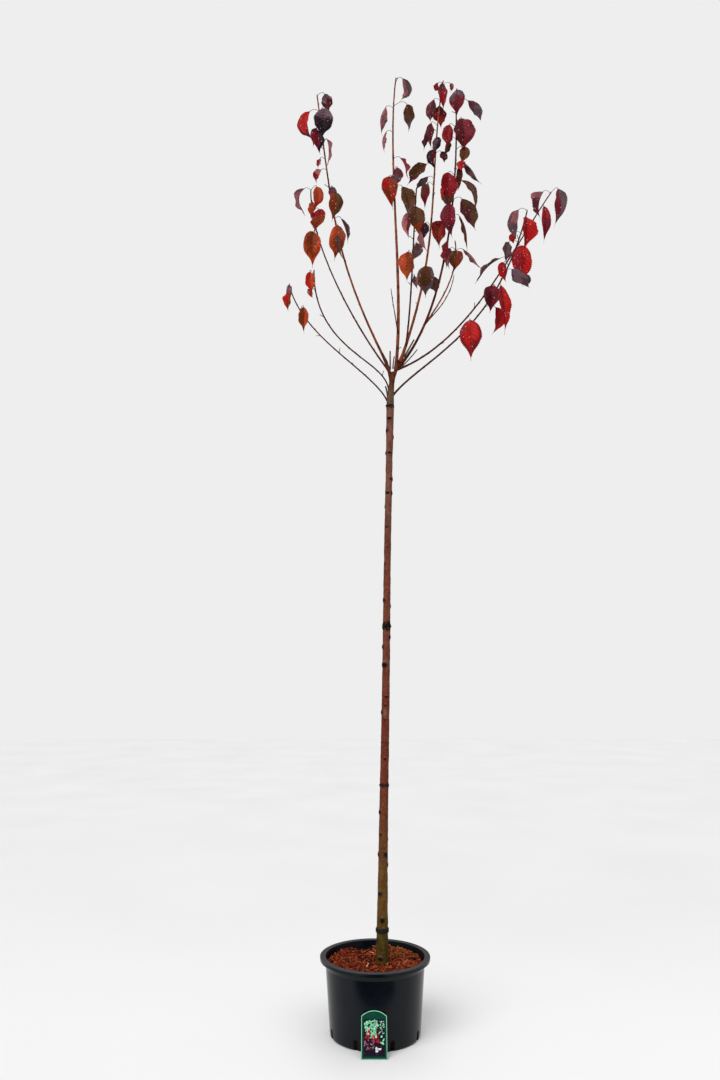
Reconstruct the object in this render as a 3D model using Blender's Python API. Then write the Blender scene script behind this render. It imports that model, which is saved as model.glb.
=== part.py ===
"""A cherry grown as a tall standard, in autumn leaf: one slim stem, a fan of whips, a round pot.

Metres, +Z up. The origin is the centre of the pot's flat underside. +X runs across the fan of
whips and +Y runs to its back.
"""

import math
import random
import re

import bmesh
import bpy
from mathutils import Matrix, Vector
from mathutils.bvhtree import BVHTree
from mathutils.geometry import interpolate_bezier

UP = Vector((0, 0, 1))
GAP = 0.0003

# Pot: a thin moulded shell with a turned-out rim and drain slots round its foot
POT_HEIGHT = 0.292
POT_FOOT_RADIUS = 0.178
POT_NECK_RADIUS = 0.199
POT_RIM_RADIUS = 0.219
POT_WALL = 0.0025
POT_FLOOR = 0.004
POT_HEEL = 0.007
RIM_SKIRT = 0.014
RIM_ROLL = 0.002
POT_SIDES = 48
DRAIN_COUNT = 8
DRAIN_WIDTH = 0.018
DRAIN_HEIGHT = 0.040
DRAIN_DEPTH = 0.028
DRAIN_FIRST = -70.0

# Mulch: what fills the pot, level under the stem and uneven round it
MULCH_LEVEL = 0.268
MULCH_SIDES = 24
MULCH_RINGS = 5
MULCH_RELIEF = 0.005
MULCH_CLEARANCE = 0.0006
MULCH_EDGE = 0.985
MULCH_SEED = 11
LEVEL_SPOT = 0.045

# Stem: a lean, a crook under the head, and its diameter at some heights over the floor
STEM_FOOT = Vector((0.027, -0.010, MULCH_LEVEL + GAP))
STEM_HEAD = Vector((0.072, 0.000, 2.590))
STEM_TOP = Vector((0.084, 0.000, 2.705))
STEM_WANDER = -0.0012
STEM_WAVES = 3.4
STEM_BOW = 1.6
STEM_SIDES = 12
STEM_STEP = 0.11
STEM_DIAMETERS = (
    (0.268, 0.055),
    (0.300, 0.050),
    (0.420, 0.044),
    (0.620, 0.039),
    (0.810, 0.0365),
    (1.280, 0.0325),
    (1.850, 0.0295),
    (2.300, 0.0285),
    (2.440, 0.0315),
    (2.540, 0.0335),
    (2.600, 0.030),
    (2.650, 0.024),
    (2.705, 0.023),
)
KNOBS_LEFT = (0.680, 0.845, 1.243, 1.435, 1.510, 1.705, 2.105, 2.338, 2.438)
KNOBS_RIGHT = (0.638, 0.739, 1.550, 1.680, 2.163, 2.224, 2.410)
KNOB_RADIUS = 0.0062
KNOB_SINK = 0.003
KNOB_STRAY = 35
KNOB_SEED = 5
FORK_THICK = 0.018
FORK_END_THICK = 0.0125
FORK_SIDES = 8
FORK_OVER_HEAD = 0.05
FORK_UNDER_TOP = 0.02
FORK_INTO_WHIP = 0.03

# Ties: a wide band low on the stem and a thin ring higher up, as height, width and thickness
TIES = {"tie_low": (0.390, 0.016, 0.0030), "tie_mid": (0.951, 0.005, 0.0022)}
TIE_CLEARANCE = 0.0006

# Label card: stands on the floor and leans on the pot
CARD_WIDTH = 0.097
CARD_SIDE = 0.142
CARD_LENGTH = 0.161
CARD_THICKNESS = 0.0012
CARD_FOOT_Y = -0.235
CARD_OFFSET = -0.0075
CARD_ARCH_STEPS = 8
CARD_FOOT_LIFT = 0.0004

# Whips and twigs
WHIP_SIDES = 6
WHIP_STEP = 0.075
WHIP_POINTS = 160
WHIP_TIP = 0.0042
TWIG_TIP = 0.0032
SWELL_LENGTH = 0.07
ROOT_SINK = 0.012

# Leaves: ovate with a drawn-out tip, hung on arched stalks
LEAF_ROWS = (0.0, 0.13, 0.42, 0.74, 1.0)
LEAF_WIDTH = (0.50, 0.60)
SLIM_LEAF = (0.34, 0.42)
BROAD_LEAF = (0.66, 0.76)
LEAF_BEND = 1.10
LEAF_THICKNESS = 0.0017
LEAF_BODY = 0.92
LEAF_WAIST = 0.82
LEAF_FULLNESS = 0.8
TIP_WIDTH = 0.03
TIP_TAPER = 0.09
OPEN_FOLD = (10, 30)
EDGE_ON_FOLD = (42, 58)
LEAF_CURL = (-0.08, 0.15)
LEAF_STRAY = 7
FACE_STRAY = 26
DROOP_RATE = 1.5
HANGING = ((48, 70), (82, 98))
SLANTING = ((22, 36), (62, 74))
CURLING = ((38, 50), (112, 126))
STALK_RADIUS = 0.0013
STALK_REACH = (0.032, 0.040)
STALK_LIFT = (0.002, 0.009)
LONG_STALK = 1.7
STALK_STEPS = 3
STALK_SEAT = 0.008
STALK_TONGUE = 0.012
STALK_RISE = 0.4
STALK_FALL = 0.35
STALK_OFF_RIB = 0.05
STALK_DEPTH = 0.45
SHORTEST_STALK = 0.5
BUD_OFF_TIP = 0.004
USUAL_LEAF = 0.12
LEAF_CLEARANCE = 0.002
TURN_STEP = 24.0
TURN_TRIES = 7

LEAF_COLOURS = {
    "s": (0.52, 0.045, 0.030),
    "c": (0.33, 0.018, 0.030),
    "m": (0.25, 0.022, 0.060),
    "b": (0.12, 0.014, 0.022),
    "k": (0.030, 0.012, 0.018),
    "o": (0.50, 0.110, 0.030),
    "n": (0.30, 0.085, 0.022),
    "z": (0.095, 0.060, 0.022),
    "g": (0.110, 0.072, 0.088),
    "p": (0.45, 0.110, 0.110),
}
BARK_COLOUR = (0.17, 0.060, 0.038)
WHIP_COLOUR = (0.13, 0.042, 0.028)
POT_COLOUR = (0.012, 0.015, 0.018)
MULCH_COLOUR = (0.25, 0.070, 0.022)
CARD_COLOUR = (0.006, 0.075, 0.045)
TIE_COLOUR = (0.012, 0.012, 0.012)


def clear_scene():
    """Takes out whatever the file started with."""
    for item in list(bpy.data.objects):
        bpy.data.objects.remove(item)


def finish(name, colour, roughness):
    """A plain finish of one colour, shared by all that ask for the same name."""
    found = bpy.data.materials.get(name)
    if found:
        return found
    made = bpy.data.materials.new(name)
    made.use_nodes = True
    shader = made.node_tree.nodes["Principled BSDF"]
    shader.inputs["Base Color"].default_value = (*colour, 1)
    shader.inputs["Roughness"].default_value = roughness
    shader.inputs["Metallic"].default_value = 0.0
    return made


def solid(name, shape, material):
    """Makes an object of a finished bmesh, its faces turned outwards."""
    bmesh.ops.recalc_face_normals(shape, faces=shape.faces)
    mesh = bpy.data.meshes.new(name)
    shape.to_mesh(mesh)
    shape.free()
    mesh.materials.append(material)
    made = bpy.data.objects.new(name, mesh)
    bpy.context.scene.collection.objects.link(made)
    return made


def combine(base, pieces, operation="UNION"):
    """Applies one Boolean of the pieces to the base, and removes the pieces."""
    group = bpy.data.collections.new(base.name + "_parts")
    bpy.context.scene.collection.children.link(group)
    for piece in pieces:
        bpy.context.scene.collection.objects.unlink(piece)
        group.objects.link(piece)
    cut = base.modifiers.new("combine", "BOOLEAN")
    cut.operation = operation
    cut.operand_type = "COLLECTION"
    cut.collection = group
    cut.solver = "EXACT"
    cut.material_mode = "TRANSFER"
    bpy.context.view_layer.update()
    whole = base.evaluated_get(bpy.context.evaluated_depsgraph_get())
    mesh = bpy.data.meshes.new_from_object(whole)
    base.modifiers.clear()
    base.data = mesh
    for piece in pieces:
        bpy.data.objects.remove(piece)
    bpy.data.collections.remove(group)
    return base


def smooth(item, degrees=40):
    """Shades round work smooth and leaves its edges sharp."""
    item.data.shade_smooth()
    item.data.set_sharp_from_angle(angle=math.radians(degrees))
    return item


def compass(degrees):
    """A level unit vector, 0 along +X and 90 along +Y."""
    turn = math.radians(degrees)
    return Vector((math.cos(turn), math.sin(turn), 0))


def blend(low, high, share):
    """The value at that share of the way from low to high."""
    return low + (high - low) * share


def between(table, value):
    """Reads a table of pairs at a value, straight between its rows."""
    if value <= table[0][0]:
        return table[0][1]
    for (low, first), (high, last) in zip(table, table[1:]):
        if value <= high:
            return blend(first, last, (value - low) / (high - low))
    return table[-1][1]


def tube(name, points, turns, radii, sides, material):
    """Draws a polygon on along a path, one ring at each point, and closes both ends."""
    shape = bmesh.new()
    bmesh.ops.create_circle(shape, cap_ends=True, segments=sides, radius=1.0)
    shape.faces.ensure_lookup_table()
    cap = shape.faces[0]
    for step, (point, turn, radius) in enumerate(zip(points, turns, radii)):
        if step:
            inner = cap
            drawn = bmesh.ops.extrude_face_region(shape, geom=[inner])["geom"]
            cap = next(part for part in drawn if isinstance(part, bmesh.types.BMFace))
            if step > 1:
                bmesh.ops.delete(shape, geom=[inner], context="FACES_ONLY")
        for corner, vertex in enumerate(cap.verts):
            angle = math.tau * corner / sides
            spoke = Vector((radius * math.cos(angle), radius * math.sin(angle), 0))
            vertex.co = point + turn @ spoke
    return smooth(solid(name, shape, material))


def turns_along(points):
    """Carries one orientation along a path with no twist: a rotation for each point."""
    ways = [(after - before).normalized() for before, after in zip(points, points[1:])]
    ways.append(ways[-1])
    turn = UP.rotation_difference(ways[0])
    turns = [turn]
    for before, after in zip(ways, ways[1:]):
        turn = before.rotation_difference(after) @ turn
        turns.append(turn)
    return turns


# Pot


def wall_radius(height):
    """The outer radius of the pot's wall at a height."""
    return blend(POT_FOOT_RADIUS, POT_NECK_RADIUS, height / POT_HEIGHT)


def turned(name, profile, steps, material):
    """Spins a profile, given as radius and height from axis to axis, into a closed solid."""
    shape = bmesh.new()
    row = [shape.verts.new((radius, 0, height)) for radius, height in profile]
    for low, high in zip(row, row[1:]):
        shape.edges.new((low, high))
    bmesh.ops.spin(
        shape,
        geom=shape.verts[:] + shape.edges[:],
        cent=(0, 0, 0),
        axis=UP,
        angle=math.tau,
        steps=steps,
        use_merge=True,
    )
    bmesh.ops.remove_doubles(shape, verts=shape.verts, dist=GAP / 10)
    return solid(name, shape, material)


def make_pot():
    under_rim = POT_HEIGHT - POT_WALL
    skirt_foot = POT_HEIGHT - RIM_SKIRT
    inner_neck = POT_NECK_RADIUS - POT_WALL
    inner_foot = wall_radius(POT_HEEL) - POT_WALL
    profile = [
        (0, 0),
        (POT_FOOT_RADIUS - POT_HEEL, 0),
        (wall_radius(POT_HEEL), POT_HEEL),
        (POT_NECK_RADIUS, under_rim),
        (POT_RIM_RADIUS - POT_WALL, under_rim),
        (POT_RIM_RADIUS - POT_WALL, skirt_foot),
        (POT_RIM_RADIUS, skirt_foot),
        (POT_RIM_RADIUS, POT_HEIGHT - RIM_ROLL),
        (POT_RIM_RADIUS - RIM_ROLL, POT_HEIGHT),
        (inner_neck + RIM_ROLL, POT_HEIGHT),
        (inner_neck, POT_HEIGHT - RIM_ROLL),
        (inner_foot, POT_HEEL),
        (inner_foot - POT_HEEL / 2, POT_FLOOR),
        (0, POT_FLOOR),
    ]
    pot = turned("pot", profile, POT_SIDES, finish("pot_plastic", POT_COLOUR, 0.38))
    slots = [drain_slot(number) for number in range(DRAIN_COUNT)]
    return smooth(combine(pot, slots, "DIFFERENCE"), 30)


def drain_slot(number):
    """A block that cuts one drain slot through the foot of the wall."""
    way = DRAIN_FIRST + 360 * number / DRAIN_COUNT
    shape = bmesh.new()
    bmesh.ops.create_cube(shape, size=1.0)
    bmesh.ops.scale(shape, vec=(DRAIN_DEPTH, DRAIN_WIDTH, DRAIN_HEIGHT), verts=shape.verts)
    bmesh.ops.translate(shape, vec=(POT_FOOT_RADIUS + POT_HEEL, 0, 0), verts=shape.verts)
    bmesh.ops.translate(shape, vec=(0, 0, DRAIN_HEIGHT / 2 - GAP * 3), verts=shape.verts)
    bmesh.ops.rotate(
        shape, cent=(0, 0, 0), matrix=Matrix.Rotation(math.radians(way), 3, "Z"), verts=shape.verts
    )
    return solid(f"drain_{number}", shape, finish("pot_plastic", POT_COLOUR, 0.38))


def make_mulch():
    """Fills the pot. Its top is uneven, but level where the stem stands."""
    draw = random.Random(MULCH_SEED)
    foot_radius = wall_radius(POT_HEEL) - POT_WALL - MULCH_CLEARANCE
    top_radius = wall_radius(MULCH_LEVEL) - POT_WALL - MULCH_CLEARANCE * 2
    profile = [
        (0, POT_FLOOR + MULCH_CLEARANCE),
        (foot_radius - POT_HEEL, POT_FLOOR + MULCH_CLEARANCE),
        (foot_radius, POT_HEEL * 2),
        (top_radius, MULCH_LEVEL - MULCH_RELIEF),
    ]
    for ring in range(MULCH_RINGS - 1, -1, -1):
        profile.append((top_radius * MULCH_EDGE * ring / (MULCH_RINGS - 1), MULCH_LEVEL))
    mulch = turned("mulch", profile, MULCH_SIDES, finish("mulch_bark", MULCH_COLOUR, 0.95))
    for vertex in mulch.data.vertices:
        if vertex.co.z < MULCH_LEVEL - GAP:
            continue
        away = (vertex.co.xy - STEM_FOOT.xy).length
        share = min(1.0, max(0.0, (away - LEVEL_SPOT) / LEVEL_SPOT))
        vertex.co.z += share * draw.uniform(-MULCH_RELIEF, MULCH_RELIEF)
    return mulch


def make_card():
    """A thin card with an arched top, stood on its foot and leant back on the pot."""
    shape = bmesh.new()
    half = CARD_WIDTH / 2
    rise = CARD_LENGTH - CARD_SIDE
    bow = (half**2 + rise**2) / (2 * rise)
    outline = [(-half, 0), (half, 0)]
    for step in range(CARD_ARCH_STEPS + 1):
        angle = math.asin(half / bow) * (1 - 2 * step / CARD_ARCH_STEPS)
        outline.append((bow * math.sin(angle), CARD_LENGTH - bow * (1 - math.cos(angle))))
    front = shape.faces.new([shape.verts.new((x, 0, z)) for x, z in outline])
    drawn = bmesh.ops.extrude_face_region(shape, geom=[front])["geom"]
    back = [part for part in drawn if isinstance(part, bmesh.types.BMVert)]
    bmesh.ops.translate(shape, vec=(0, CARD_THICKNESS, 0), verts=back)
    card = solid("label_card", shape, finish("card_green", CARD_COLOUR, 0.35))
    back_top = math.sqrt(wall_radius(CARD_LENGTH) ** 2 - CARD_OFFSET**2)
    lean = math.asin((-CARD_FOOT_Y - back_top - CARD_THICKNESS - GAP) / CARD_LENGTH)
    card.matrix_world = Matrix.Translation(
        (CARD_OFFSET, CARD_FOOT_Y, CARD_FOOT_LIFT)
    ) @ Matrix.Rotation(-lean, 4, "X")
    return card


# Stem


def stem_centre(height):
    """The middle of the stem at a height: a straight lean with a slight wander, then a crook."""
    if height > STEM_HEAD.z:
        share = (height - STEM_HEAD.z) / (STEM_TOP.z - STEM_HEAD.z)
        return STEM_HEAD.lerp(STEM_TOP, share)
    share = max(0.0, (height - STEM_FOOT.z) / (STEM_HEAD.z - STEM_FOOT.z))
    sway = STEM_BOW + math.sin(math.pi * STEM_WAVES * share)
    wave = STEM_WANDER * math.sin(math.pi * share) * sway
    return STEM_FOOT.lerp(STEM_HEAD, share) + Vector((wave, wave / 2, 0))


def stem_heights():
    """The heights of the stem's rings: the rows of its diameter table and steps between them."""
    heights = [STEM_FOOT.z]
    for row, _ in STEM_DIAMETERS[1:]:
        parts = max(1, round((row - heights[-1]) / STEM_STEP / 2))
        low = heights[-1]
        heights += [blend(low, row, part / parts) for part in range(1, parts + 1)]
    return heights


def stem_tube(name, heights, extra, material):
    """The stem's own shape between some heights, made wider all round by extra."""
    points = [stem_centre(height) for height in heights]
    radii = [between(STEM_DIAMETERS, height) / 2 + extra for height in heights]
    turns = [UP.rotation_difference(UP)] * len(points)
    return tube(name, points, turns, radii, STEM_SIDES, material)


def knob(height, side, bark):
    """A bud scar that swells from one side of the stem."""
    radius = between(STEM_DIAMETERS, height) / 2
    place = stem_centre(height) + compass(side) * (radius - KNOB_SINK)
    shape = bmesh.new()
    bmesh.ops.create_icosphere(shape, subdivisions=1, radius=KNOB_RADIUS)
    bmesh.ops.translate(shape, vec=place, verts=shape.verts)
    return solid(f"knob_{height:.3f}", shape, bark)


def make_stem(whips):
    """The stem, its two fork limbs, its knobs and the first stretch of each whip it bears."""
    bark = finish("bark", BARK_COLOUR, 0.55)
    stem = stem_tube("trunk", stem_heights(), 0.0, bark)
    pieces = [whip.collar_tube(bark) for whip in whips if whip.parent is None]
    for name in ("left_tall", "right_tall"):
        whip = next(w for w in whips if w.name == name)
        points = [
            stem_centre(STEM_HEAD.z + FORK_OVER_HEAD),
            stem_centre(STEM_TOP.z - FORK_UNDER_TOP),
            whip.at(FORK_INTO_WHIP),
        ]
        radii = [FORK_THICK / 2, FORK_THICK / 2, FORK_END_THICK / 2]
        pieces.append(tube("fork_" + name, points, turns_along(points), radii, FORK_SIDES, bark))
    draw = random.Random(KNOB_SEED)
    for side, heights in ((180, KNOBS_LEFT), (0, KNOBS_RIGHT)):
        for height in heights:
            pieces.append(knob(height, side + draw.uniform(-KNOB_STRAY, KNOB_STRAY), bark))
    return smooth(combine(stem, pieces))


def make_tie(name, height, width, thickness):
    """A band round the stem, open inside by a hair more than the stem is thick."""
    rubber = finish("tie_rubber", TIE_COLOUR, 0.5)
    low, high = height - width / 2, height + width / 2
    band = stem_tube(name, [low, high], TIE_CLEARANCE + thickness, rubber)
    bore = stem_tube("bore", [low - width, low, high, high + width], TIE_CLEARANCE, rubber)
    return smooth(combine(band, [bore], "DIFFERENCE"))


# Whips


class Whip:
    """A slim limb that climbs in one upright plane.

    It leaves its foot at the launch angle above the level and ends at the finish angle, after the
    given reach and rise. The pulls say how long each angle is held, as shares of the chord. It is
    bare for a first length, and leaves hang from the rest. Its swell is how much thicker it is at
    its foot than an even taper.
    """

    def __init__(
        self, name, foot, heading, reach, rise, launch, finish, thick, pulls=(0.3, 0.3),
        swell=0.0, collar=0.045, bare=None, fine=WHIP_TIP, leaves="", parent=None,
    ):
        self.name = name
        self.parent = parent
        self.collar = collar
        self.leaves = leaves
        self.thick = thick
        self.swell = swell
        self.fine = fine
        way = compass(heading)
        chord = math.hypot(reach, rise)
        start = Vector(foot)
        end = start + way * reach + UP * rise
        first = way * math.cos(math.radians(launch)) + UP * math.sin(math.radians(launch))
        last = way * math.cos(math.radians(finish)) + UP * math.sin(math.radians(finish))
        handle = start + first * chord * pulls[0]
        reins = end - last * chord * pulls[1]
        self.points = interpolate_bezier(start, handle, reins, end, WHIP_POINTS)
        self.turns = turns_along(self.points)
        self.distances = [0.0]
        for before, after in zip(self.points, self.points[1:]):
            self.distances.append(self.distances[-1] + (after - before).length)
        self.length = self.distances[-1]
        self.bare = self.length if bare is None else bare

    def step_before(self, distance):
        """The number of the last fine point at or before a distance, and the share beyond it."""
        low = 0
        while low < len(self.distances) - 2 and self.distances[low + 1] < distance:
            low += 1
        span = self.distances[low + 1] - self.distances[low]
        return low, (distance - self.distances[low]) / span

    def at(self, distance):
        """The point at a distance along the whip. A distance below 0 runs back into its root."""
        low, share = self.step_before(distance)
        return self.points[low].lerp(self.points[low + 1], share)

    def turn_at(self, distance):
        """The whip's orientation at a distance."""
        low, _ = self.step_before(distance)
        return self.turns[low]

    def radius(self, distance):
        """Half the thickness: an even taper, and a swell at the foot that soon fades."""
        even = blend(self.thick, self.fine, max(0.0, distance) / self.length)
        return (even + self.swell * math.exp(-max(0.0, distance) / SWELL_LENGTH)) / 2

    def stretch(self, name, start, end, material):
        """The length of the whip between two distances, as a closed tube."""
        parts = max(1, math.ceil((end - start) / WHIP_STEP))
        stops = [blend(start, end, part / parts) for part in range(parts + 1)]
        points = [self.at(stop) for stop in stops]
        turns = [self.turn_at(stop) for stop in stops]
        radii = [self.radius(stop) for stop in stops]
        return tube(name, points, turns, radii, WHIP_SIDES, material)

    def collar_tube(self, material):
        """The first stretch, which is one with whatever bears the whip."""
        return self.stretch("collar_" + self.name, -ROOT_SINK, self.collar, material)


def plan_whips():
    """Every whip and twig, from its size as it stands. Leaves read as in read_leaves."""
    whips = [
        Whip("left_low", (0.057, 0, 2.576), 156, 0.490, 0.620, 62, 76, 0.0068, (0.22, 0.35),
             bare=0.560, leaves="06@7x08s 02@6x07z< 15@5x10n"),
        Whip("left_front", (0.064, 0, 2.599), 225, 0.440, 0.430, 99, 91, 0.0064, (0.28, 0.60),
             collar=0.080, bare=0.567, leaves="03@7x08o 09@8x04s"),
        Whip("left_back", (0.062, 0, 2.712), 143, 0.450, 1.000, 53, 91, 0.0084, (0.26, 0.26),
             bare=0.670, leaves="00@9x12c|( 00@4x10o 09@6x07o 12@4x11n> 26@7x15n"),
        Whip("left_tall", (0.052, -0.006, 2.750), 204, 0.330, 1.174, 60, 82, 0.0100,
             (0.40, 0.45), swell=0.003, bare=0.480,
             leaves="00@3x08b> 09@5x12k> 08@9x14s(< 17@8x07b 19@7x09c> 23@5x12c|< 30@9x04c "
             "35@9x06c/ 44@5x05g> 47@5x11z( 57@2x09b| 63@6x13o 68@6x12z|/"),
        Whip("leader", (0.097, 0, 2.721), 32, 0.010, 1.390, 83, 82, 0.0150, bare=0.730,
             leaves="01@3x11g(< 15@3x11z= 16@9x12p| 28@9x09c| 41@3x09c|< 47@5x08g> "
             "52@7x13s 55@3x13z"),
        Whip("right_tall", (0.119, 0, 2.757), 40, 0.291, 1.471, 67, 78, 0.0120, (0.47, 0.38),
             swell=0.005, bare=0.375,
             leaves="03@3x04c= 02@9x05c( 05@6x12c< 12@9x10g 13@12x09c> 29@9x09z< 26@8x11b< "
             "35@6x07k> 41@7x09b 41@3x05b> 47@9x12z/ 54@9x07g/ 58@8x11c< 79@8x09k "
             "102@6x12z> 106@3x07g>"),
        Whip("right_upright", (0.117, 0, 2.734), 331, 0.279, 1.210, 43, 92, 0.0112, (0.28, 0.28),
             swell=0.003, bare=0.480,
             leaves="02@6x10m> 05@3x10g/= 16@5x13b> 18@8x10s 28@4x07z> 36@5x06s/> "
             "35@4x13z|/< 40@8x13c> 23@9x08s| 38@5x09b< 44@4x15z|/< 44@9x09o|( "
             "51@3x14z 55@7x14m 59@3x13n|< 61@9x10n> 71@6x11s| 47@8x08g"),
        Whip("right_long", (0.110, 0, 2.716), 17, 0.780, 0.960, 26, 56, 0.0090, (0.31, 0.32),
             bare=0.540, leaves="01@4x16c< 01@9x11c|> 14@5x15c< 29@9x05s>= 34@9x09k>= 39@5x16s> "
             "44@9x14z|/<"),
        Whip("right_low", (0.088, 0, 2.603), 339, 0.600, 0.738, 46, 75, 0.0086, (0.22, 0.58),
             bare=0.385, leaves="00@9x12g(< 06@6x12s> 25@8x08s 28@4x11g/> 36@7x10b> 37@5x18s< "
             "46@3x11s(<= 55@6x15s"),
    ]
    bearers = {whip.name: whip for whip in whips}
    leader, tall, upright = bearers["leader"], bearers["right_tall"], bearers["right_upright"]
    whips += [
        Whip("right_front", tall.at(0.080), 277, 0.285, 0.585, 38, 62, 0.0080, bare=0.262,
             parent=tall, leaves="10@6x11n> 11@8x11c< 18@3x08c| 24@5x07g> 28@7x12o 37@5x05b"),
        Whip("right_inner", upright.at(0.195), 46, 0.230, 0.478, 53, 104, 0.0075, (0.21, 0.32),
             bare=0.420, leaves="05@8x09b 07@6x09z> 05@3x11z|/<", parent=upright),
        Whip("right_twig", upright.at(0.195), 307, 0.194, 0.162, 30, 76, 0.0055, (0.32, 0.43),
             fine=TWIG_TIP, parent=upright),
        Whip("leader_twig", leader.at(0.155), 245, 0.077, 0.182, 72, 73, 0.0055,
             collar=0.036, fine=TWIG_TIP, parent=leader),
    ]
    return whips


def make_bough(whip, whips):
    """The bare length of a whip, with the collars of the twigs that it bears."""
    bark = finish("whip_bark", WHIP_COLOUR, 0.5)
    bough = whip.stretch("bough_" + whip.name, whip.collar + GAP, whip.bare, bark)
    borne = [twig.collar_tube(bark) for twig in whips if twig.parent is whip]
    return smooth(combine(bough, borne)) if borne else bough


# Leaves


def read_leaves(text):
    """Reads a whip's leaves. In 22@9x14n a leaf leaves its whip 22 cm below the tip, at nine
    o'clock as seen from above with twelve at the back, is 14 cm long as it hangs, and has the
    colour n. Marks may follow: | hangs edge on, / stands out at a slant, ( curls back under its
    bud, < is slim, > is broad and = has a long stalk."""
    for word in text.split():
        below, hour, hang, colour, marks = re.fullmatch(
            r"(\d+)@(\d+)x(\d+)([a-z])([|/(<>=]*)", word
        ).groups()
        yield int(below) / 100, int(hour), int(hang) / 100, colour, marks


class Leaf:
    """One leaf: where it leaves its whip, how its stalk arches and how its blade hangs."""

    def __init__(self, whip, below, hour, hang, colour, marks, draw):
        self.colour = colour
        self.length = hang * LEAF_BEND
        self.bud = whip.at(whip.length - max(below, BUD_OFF_TIP))
        self.side = 90 - 30 * hour + draw.uniform(-LEAF_STRAY, LEAF_STRAY)
        size = blend(SHORTEST_STALK, 1.0, hang / USUAL_LEAF)
        size *= LONG_STALK if "=" in marks else 1.0
        self.reach = draw.uniform(*STALK_REACH) * size
        self.lift = draw.uniform(*STALK_LIFT)
        droop = SLANTING if "/" in marks else CURLING if "(" in marks else HANGING
        self.droop = [draw.uniform(*bounds) for bounds in droop]
        edge_on = "|" in marks
        self.face = 90 if colour == "g" else 270
        self.face += 90 * draw.choice((-1, 1)) if edge_on else 0
        self.face += draw.uniform(-FACE_STRAY, FACE_STRAY)
        self.fold = math.radians(draw.uniform(*(EDGE_ON_FOLD if edge_on else OPEN_FOLD)))
        self.curl = draw.uniform(*LEAF_CURL)
        breadth = SLIM_LEAF if "<" in marks else BROAD_LEAF if ">" in marks else LEAF_WIDTH
        self.width = hang * draw.uniform(*breadth)

    def way(self, share):
        """The direction of the midrib at a share of the leaf's length."""
        angle = math.radians(blend(*self.droop, min(1.0, DROOP_RATE * share)))
        return compass(self.side) * math.cos(angle) - UP * math.sin(angle)

    def base(self):
        """Where the stalk meets the blade."""
        return self.bud + compass(self.side) * self.reach + UP * self.lift

    def midrib(self, share, steps=10):
        """The point of the midrib at a share of the leaf's length."""
        point = self.base()
        for step in range(steps):
            point += self.way(share * (step + 0.5) / steps) * (share * self.length / steps)
        return point

    def half_width(self, share):
        """Half the blade's width: ovate, with a drawn-out tip."""
        body = math.sin(math.pi * min(1.0, share / LEAF_BODY) ** LEAF_WAIST) ** LEAF_FULLNESS
        return self.width / 2 * max(body, TIP_WIDTH + TIP_TAPER * (1 - share))

    def spot(self, share, across, under):
        """A point of the blade: along it from 0 to 1, across it from -1 to 1, and its underside
        where under is 1."""
        way = self.way(share)
        face = compass(self.face)
        normal = (face - way * face.dot(way)).normalized()
        flank = way.cross(normal)
        half = self.half_width(share)
        rise = half * abs(across) * math.sin(self.fold) + self.curl * self.length * share**2
        level = self.midrib(share) + flank * half * across * math.cos(self.fold)
        return level + normal * (rise - under * LEAF_THICKNESS)

    def blade(self, name):
        """The blade, a thin slab bent to its shape."""
        shape = bmesh.new()
        rows = len(LEAF_ROWS) - 1
        bmesh.ops.create_grid(shape, x_segments=rows, y_segments=2, size=1.0)
        for vertex in shape.verts:
            row = round((vertex.co.x + 1) / 2 * rows)
            vertex.co = (LEAF_ROWS[row], vertex.co.y, 0)
        drawn = bmesh.ops.extrude_face_region(shape, geom=shape.faces[:])["geom"]
        under = [part for part in drawn if isinstance(part, bmesh.types.BMVert)]
        bmesh.ops.translate(shape, vec=UP, verts=under)
        for vertex in shape.verts:
            vertex.co = self.spot(*vertex.co)
        return solid(name, shape, self.material())

    def stalk(self, name):
        """The stalk, which rises from inside the whip and arches over into the blade."""
        way = self.way(0)
        entry = self.spot(0.0, STALK_OFF_RIB, STALK_DEPTH) - way * STALK_SEAT / 2
        leaving = (compass(self.side) + UP) * self.reach * STALK_RISE
        arriving = way * self.reach * STALK_FALL
        points = interpolate_bezier(
            self.bud, self.bud + leaving, entry - arriving, entry, STALK_STEPS
        )
        points = list(points) + [entry + way * STALK_TONGUE]
        radii = [STALK_RADIUS] * len(points)
        return tube(name, points, turns_along(points), radii, 3, self.material())

    def material(self):
        return finish("leaf_" + self.colour, LEAF_COLOURS[self.colour], 0.5)

    def make(self, name):
        return [self.stalk("stalk_" + name), self.blade("blade_" + name)]


def surface(items):
    """A search tree over the faces of some finished objects."""
    points = []
    faces = []
    for item in items:
        start = len(points)
        points += [item.matrix_world @ vertex.co for vertex in item.data.vertices]
        faces += [[start + corner for corner in face.vertices] for face in item.data.polygons]
    return BVHTree.FromPolygons(points, faces)


def touches(pieces, others):
    """Whether new pieces cut, or come too near, what is already there."""
    if surface(pieces).overlap(others):
        return True
    for piece in pieces:
        for vertex in piece.data.vertices:
            if others.find_nearest(vertex.co, LEAF_CLEARANCE)[0] is not None:
                return True
    return False


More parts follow.
